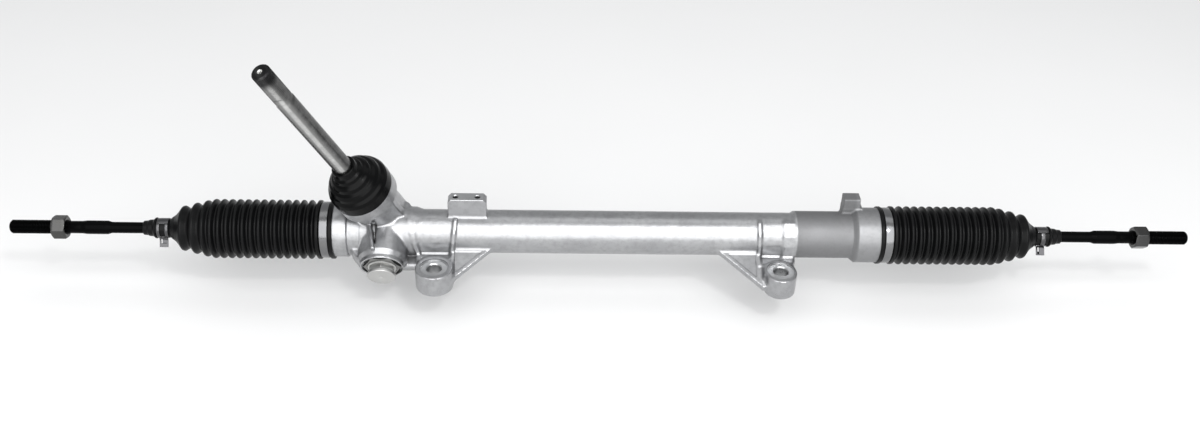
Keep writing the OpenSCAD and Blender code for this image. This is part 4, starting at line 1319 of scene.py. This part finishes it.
def build_nut(side, s):
    """Hexagon nut with 30 degree chamfers on both faces and a countersunk bore."""
    o, u, v, w = side_frame(s)
    af, t, xc = 21.0, 14.0, 551.5
    seg = 16
    n = 6 * seg
    th = np.radians(14.0 * s) + np.arange(n) * 2 * np.pi / n
    loc = (np.arange(n) % seg) / seg * math.pi / 3 - math.pi / 6
    rh = af / 2 / np.cos(loc)
    rf = af / 2 - 0.25
    rb = 7.0
    dx = (rh - rf) * math.tan(math.radians(32.0))
    cols = [(-t / 2 + 0.9, np.full(n, rb)), (-t / 2, np.full(n, rb + 0.9)), (-t / 2, np.full(n, rf)), (-t / 2 + dx, rh), (-t / 2 + 3.2 + 0 * dx, rh), (t / 2 - 3.2 + 0 * dx, rh),
            (t / 2 - dx, rh), (t / 2, np.full(n, rf)), (t / 2, np.full(n, rb + 0.9)), (t / 2 - 0.9, np.full(n, rb))]
    co = []
    for x, r in cols:
        xx = np.broadcast_to(x, (n,))
        # hexagon corners sit at the ends of each sixth
        a = th
        co += list(o + np.outer(r * np.cos(a), u) + np.outer(r * np.sin(a), v) + np.outer(xc + xx, w))
    k = len(cols)
    faces = [(i * n + j, i * n + (j + 1) % n, ((i + 1) % k) * n + (j + 1) % n, ((i + 1) % k) * n + j) for i in range(k) for j in range(n)]
    ob = to_object(f"{side}_hex_nut", np.array(co), faces)
    outward(ob)
    bevel(ob, 0.22, 2, 28)
    shade(ob, 30)
    finish_piece(ob, M["nut"], f"{side}_rod", [f"{side}_jam_nut"])


for side, s in (("left", -1), ("right", 1)):
    build_bellows(side, s)
    build_large_clamp(side, s)
    build_small_clamp(side, s)
    build_rod(side, s)
    build_nut(side, s)

# ------------------------------------------------------------------ yoke plug and lock nut

def hex_piece(name, fr, af, t0, t1, rf0, rf1, turn, bore=None, tilt=32.0, dish=None):
    o, u, v, w = fr
    seg = 16
    n = 6 * seg
    th = turn + np.arange(n) * 2 * np.pi / n
    loc = (np.arange(n) % seg) / seg * math.pi / 3 - math.pi / 6
    rh = af / 2 / np.cos(loc)
    k0, k1 = (rh - rf0) * math.tan(math.radians(tilt)), (rh - rf1) * math.tan(math.radians(tilt))
    full = lambda r: np.full(n, float(r))
    cols = []
    if bore:
        cols += [(t0 + 0.6, full(bore)), (t0, full(bore + 0.6))]
    cols += [(t0, full(rf0)), (t0 + k0, rh), (t1 - k1, rh), (t1, full(rf1))]
    if bore:
        cols += [(t1, full(bore + 0.6)), (t1 - 0.6, full(bore))]
    elif dish:
        cols += [(t1, full(dish + 0.5)), (t1 - 0.5, full(dish))]
    co = []
    for x, r in cols:
        xx = np.broadcast_to(x, (n,))
        co += list(o + np.outer(r * np.cos(th), u) + np.outer(r * np.sin(th), v) + np.outer(xx, w))
    k = len(cols)
    faces = [(i * n + j, i * n + (j + 1) % n, (i + 1) * n + (j + 1) % n, (i + 1) * n + j) for i in range(k - 1) for j in range(n)]
    if bore:
        faces += [((k - 1) * n + j, (k - 1) * n + (j + 1) % n, (j + 1) % n, j) for j in range(n)]
    else:
        co.append(o + w * float(np.mean(cols[0][0])))
        faces += [(k * n, (j + 1) % n, j) for j in range(n)]
        co.append(o + w * float(np.mean(cols[-1][0])))
        faces += [(k * n + 1, (k - 1) * n + j, (k - 1) * n + (j + 1) % n) for j in range(n)]
    ob = to_object(name, np.array(co), faces)
    outward(ob)
    return ob


def build_plug():
    head = hex_piece("head", YOKE, 23.21, 44.0, 51.6, 11.2, 11.2, math.radians(28), None, 12.0)
    bevel(head, 0.3, 2, 28)
    disc = lathe("disc", [(50.0, 0)] + fil([(50.0, 12.8), (50.0, 13.4), (50.9, 14.2, 0.4), (53.3, 14.2, 0.4), (54.0, 13.5, 0.4), (54.0, 2.2, 0.2), (53.6, 1.7)], 4) + [(53.3, 0)], YOKE, 120, sharp=40)
    stem = lathe("stem", [(38, 0), (38, 9.8), (37.6, 10.3), (31, 10.3), (31, 14.0), (31.5, 14.42), (43.6, 14.42), (44.4, 13.2), (44.6, 0)], YOKE, 72, sharp=35)
    ob = join("yoke_adjuster", [head, disc, stem])
    shade(ob, 30)
    finish_piece(ob, M["plug"], "housing", ["yoke_plug"])
    nut = hex_piece("yoke_jam_nut", YOKE, 32.9, 38.5, 43.5, 16.2, 16.2, 0.0, 14.5, 30.0)
    bevel(nut, 0.2, 2, 28)
    shade(nut, 30)
    finish_piece(nut, M["jam"], "housing", ["yoke_lock_nut"])


build_plug()

# ------------------------------------------------------------------ finishes of the CAD nodes that show as they are

CARRIED = {
    "rack_bar": "rack_steel", "pinion_bearing_outer": "bearing", "pinion_bearing_inner": "bearing", "pinion_bearing_balls": "bearing", "pinion_bearing_cage": "brass",
    "bearing_snap_ring": "spring", "pinion_circlip": "spring", "pinion_oil_seal": "seal", "needle_bearing_cup": "bearing", "needle_rollers": "bearing",
    "pinion_end_cap": "cap", "rack_yoke": "yoke_alu", "yoke_liner": "liner", "yoke_o_ring": "seal", "yoke_spring": "spring",
    "rack_bush": "liner", "bush_o_rings": "seal", "bush_snap_ring": "spring",
}
for side in ("left", "right"):
    CARRIED.update({f"{side}_lock_washer": "spring", f"{side}_ball_socket": "socket", f"{side}_ball_seat": "seat"})
for name, key in CARRIED.items():
    mats = NODES[name].data.materials
    if len(mats) == 0:
        mats.append(M[key])
    for i in range(len(mats)):
        mats[i] = M[key]

# ------------------------------------------------------------------ floor, light and camera

lo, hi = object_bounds()
# the floor lies just below the lowest reach of the tie rods' ends, 20 degrees down
floor_z = min(float(lo[2]), (RZ - (601 - 395) * math.sin(math.radians(20)) - 7.0) * MM) - 0.001
fl = Mat("studio_floor", (0.78, 0.78, 0.78), 0.0, 0.75, 0.2)
fl.tint(fl.ramp(fl.noise(3.0, 3.0, 0.5), 0.3, 0.7), (0.985,) * 3, (1.0,) * 3)
fl.roughness(fl.noise(30, 2.0, 0.5), 0.70, 0.80)
floor = to_object("studio_floor", np.array([[-9000, -7000, 0], [9000, -7000, 0], [9000, 11000, 0], [-9000, 11000, 0]], float), [(0, 1, 2, 3)], flat=True)
floor.location = (0, 0, floor_z)
floor.data.materials.append(fl.done())

world = bpy.data.worlds.new("studio")
bpy.context.scene.world = world
world.use_nodes = True
bg = world.node_tree.nodes["Background"]
bg.inputs[0].default_value = (0.98, 0.99, 1.0, 1)
bg.inputs[1].default_value = 0.58


def area(name, size, power, loc, target, size_y=None, color=(1, 1, 1)):
    d = bpy.data.lights.new(name, "AREA")
    d.shape = "RECTANGLE"
    d.size = size
    d.size_y = size_y or size
    d.energy = power
    d.color = color
    o = bpy.data.objects.new(name, d)
    bpy.context.scene.collection.objects.link(o)
    o.location = loc
    o.rotation_euler = (Vector(target) - Vector(loc)).to_track_quat("-Z", "Y").to_euler()
    return o


# long softbox above and in front, as seen in the white band along the tube
area("softbox", 3.4, 74.0, (0.0, -1.6, 1.26), (0.0, 0.0, 0.04), 2.8)
area("overhead", 3.0, 6.5, (0.0, 0.45, 2.1), (0.0, 0.05, 0.04), 0.9)
area("lamp", 0.3, 9.0, (0.5, -1.3, 1.9), (-0.2, 0.05, 0.1), 0.2)

yaw, el, roll, tx, tz, dist, f_px = math.radians(2.32), math.radians(34.93), math.radians(1.915), -7.6, 12.6, 1299.0, 1270.0
fwd = np.array([math.sin(yaw) * math.cos(el), math.cos(yaw) * math.cos(el), -math.sin(el)])
right = np.array([math.cos(yaw), -math.sin(yaw), 0.0])
up = np.cross(right, fwd)
r2 = math.cos(roll) * right + math.sin(roll) * up
u2 = -math.sin(roll) * right + math.cos(roll) * up
eye = (np.array([0, 46, 35.0]) - fwd * dist + r2 * tx + u2 * tz) * MM
cam_data = bpy.data.cameras.new("camera")
cam_data.sensor_fit = "HORIZONTAL"
cam_data.sensor_width = 36.0
cam_data.lens = f_px / 1200.0 * 36.0
cam_data.clip_start, cam_data.clip_end = 0.05, 60.0
cam = bpy.data.objects.new("camera", cam_data)
bpy.context.scene.collection.objects.link(cam)
mat = Matrix.Identity(4)
for i in range(3):
    mat[i][0], mat[i][1], mat[i][2], mat[i][3] = r2[i], u2[i], -fwd[i], eye[i]
cam.matrix_world = mat
bpy.context.scene.camera = cam

vs = bpy.context.scene.view_settings
vs.view_transform = "Standard"
vs.look = "None"
vs.exposure = 0.0
